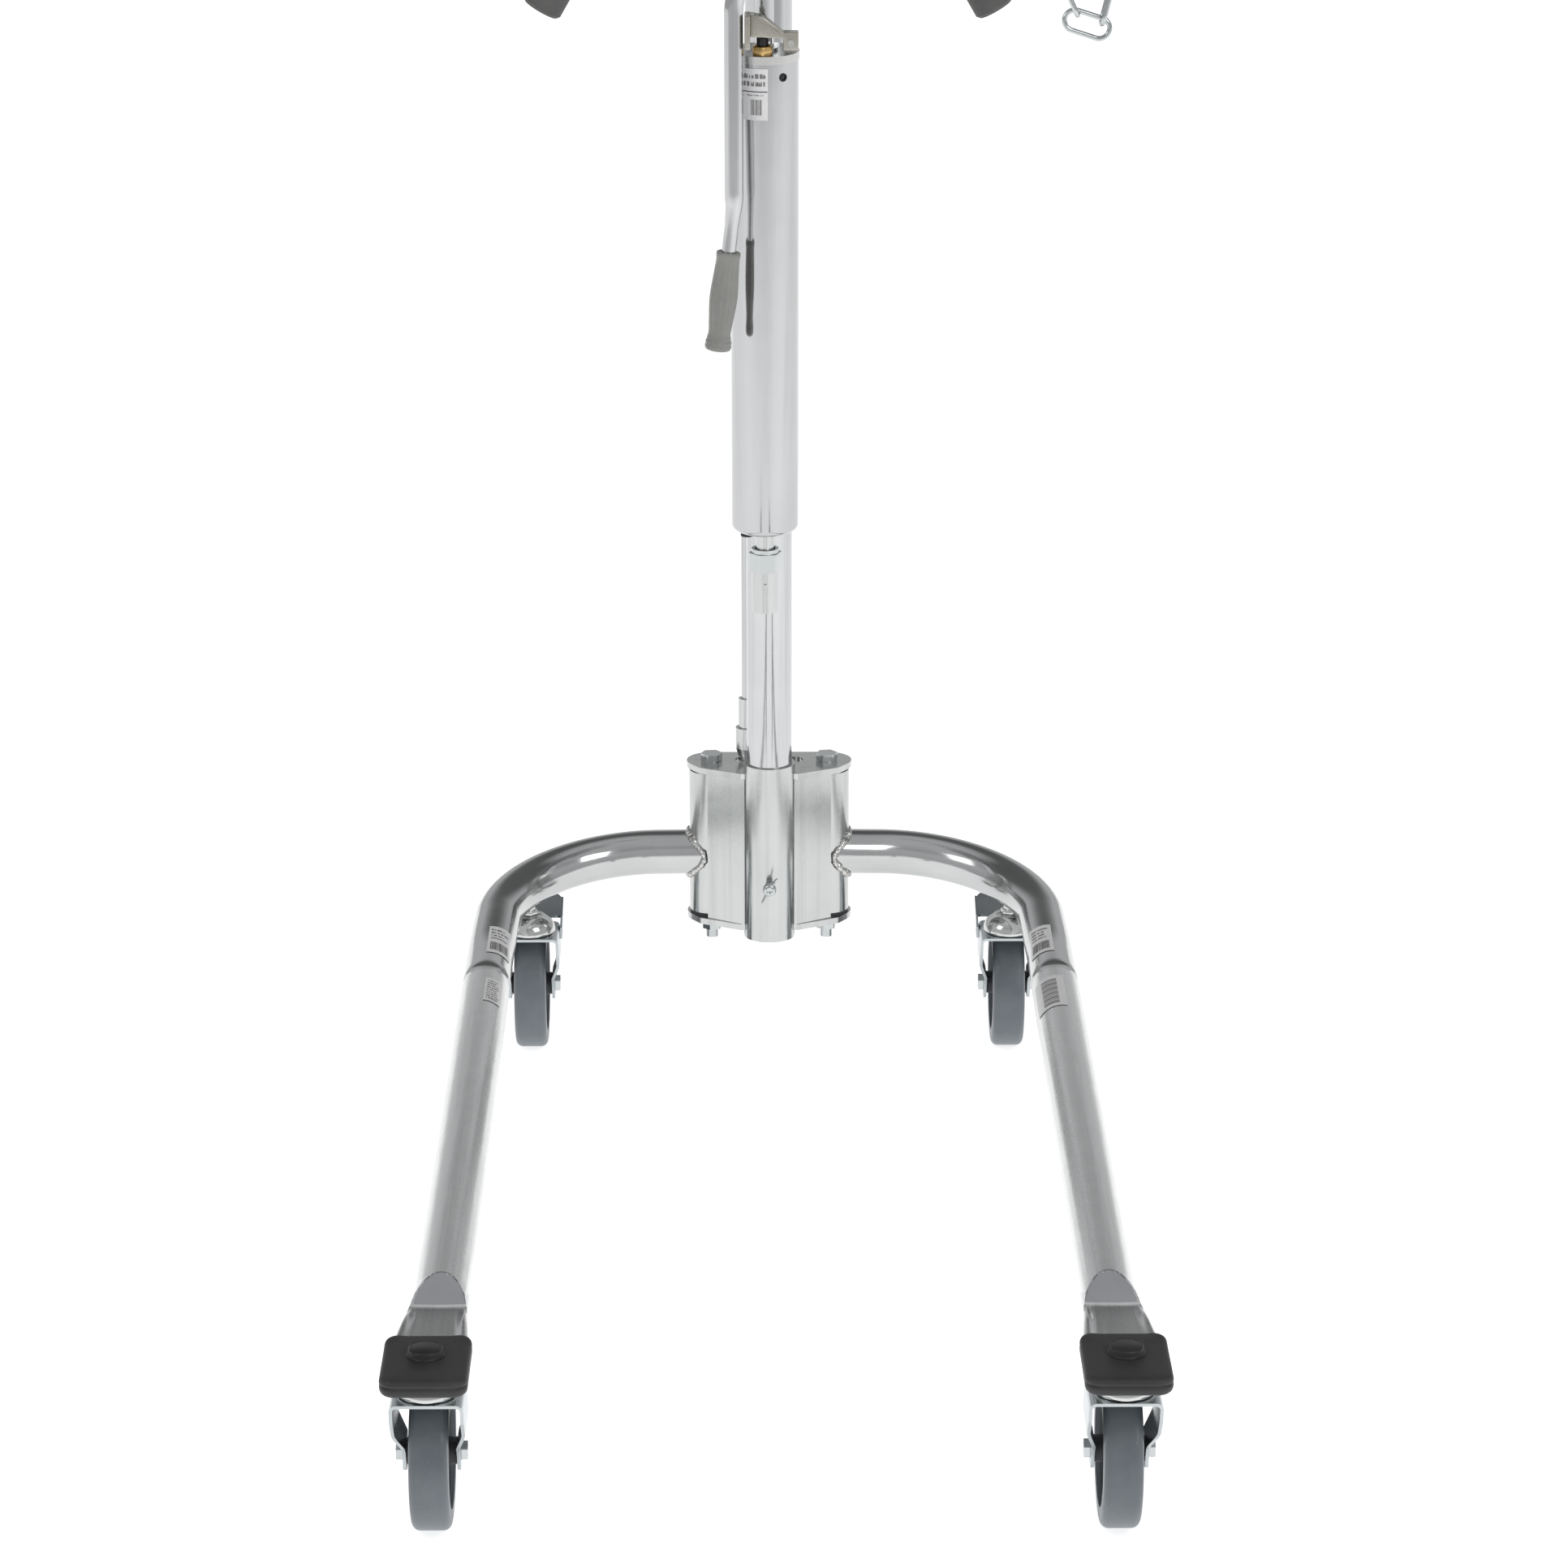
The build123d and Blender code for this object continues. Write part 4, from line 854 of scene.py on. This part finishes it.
def pale_floor():
    """One plain pale floor with a soft glow that fades evenly towards the front."""
    mesh = bpy.data.meshes.new("floor")
    mesh.from_pydata(FLOOR, [], [(0, 1, 2, 3)])
    ob = bpy.data.objects.new("floor", mesh)
    bpy.context.scene.collection.objects.link(ob)
    m = Nodes("floor_paint")
    grain = m.noise(3.0, 2.0)
    m.set(Base_Color=m.ramp(grain, [(0.3, (0.916, 0.916, 0.916)), (0.7, (0.93, 0.93, 0.93))]), Roughness=0.9,
          Specular_IOR_Level=0.0)
    depth = m.add("SeparateXYZ", Vector=m.coords).outputs["Y"]
    m.bsdf.inputs["Emission Color"].default_value = (1, 1, 1, 1)
    m.link(m.range(depth, FADE_START, FADE_END, FRONT_GLOW, GLOW), m.bsdf.inputs["Emission Strength"])
    mesh.materials.append(m.material)


pale_floor()

world = bpy.data.worlds.new("studio")
bpy.context.scene.world = world
world.use_nodes = True
wt = world.node_tree
background = wt.nodes["Background"]
coords = wt.nodes.new("ShaderNodeTexCoord")
split = wt.nodes.new("ShaderNodeSeparateXYZ")
wt.links.new(coords.outputs["Generated"], split.inputs[0])
blend = wt.nodes.new("ShaderNodeMapRange")
wt.links.new(split.outputs["Y"], blend.inputs["Value"])
blend.inputs["From Min"].default_value = -0.12
blend.inputs["From Max"].default_value = 0.20
mixer = wt.nodes.new("ShaderNodeMix")
mixer.data_type = "RGBA"
wt.links.new(blend.outputs["Result"], mixer.inputs[0])
FRONT_SKY = [(0.0, 0.9), (0.40, 1.0), (0.62, 0.72), (0.80, 0.95), (1.0, 1.0)]
BACK_SKY = [(0.0, 0.9), (0.30, 1.0), (0.42, 0.66), (0.54, 0.26), (0.84, 0.22), (0.93, 0.90), (1.0, 1.0)]
for stops, socket in ((FRONT_SKY, 6), (BACK_SKY, 7)):
    ramp = wt.nodes.new("ShaderNodeValToRGB")
    wt.links.new(split.outputs["Z"], ramp.inputs["Fac"])
    while len(ramp.color_ramp.elements) < len(stops):
        ramp.color_ramp.elements.new(0.5)
    for element, (position, value) in zip(ramp.color_ramp.elements, stops):
        element.position = position
        element.color = (value, value, value * 1.01, 1)
    wt.links.new(ramp.outputs["Color"], mixer.inputs[socket])
wt.links.new(mixer.outputs[2], background.inputs["Color"])
background.inputs["Strength"].default_value = SKY_STRENGTH


def area_light(name, place, target, size, power):
    data = bpy.data.lights.new(name, "AREA")
    data.shape = "RECTANGLE"
    data.size, data.size_y = size
    data.energy = power
    ob = bpy.data.objects.new(name, data)
    ob.location = place
    ob.rotation_euler = (Vector(target) - Vector(place)).to_track_quat("-Z", "Y").to_euler()
    bpy.context.scene.collection.objects.link(ob)
    return ob


area_light("key", (1.9, -2.2, 2.6), (0, 0, 0.4), (1.6, 1.6), 28)
area_light("fill", (-2.2, -1.2, 2.4), (0, 0, 0.5), (1.4, 1.4), 12)

camera_data = bpy.data.cameras.new("camera")
camera_data.sensor_width = 36
camera_data.lens = 111.8
camera = bpy.data.objects.new("camera", camera_data)
camera.location = (-0.021, -4.035, 1.789)
camera.rotation_euler = (math.radians(90 - 18.3), 0, -math.radians(0.447))
bpy.context.scene.collection.objects.link(camera)
bpy.context.scene.camera = camera
bpy.context.scene.view_settings.view_transform = "Standard"
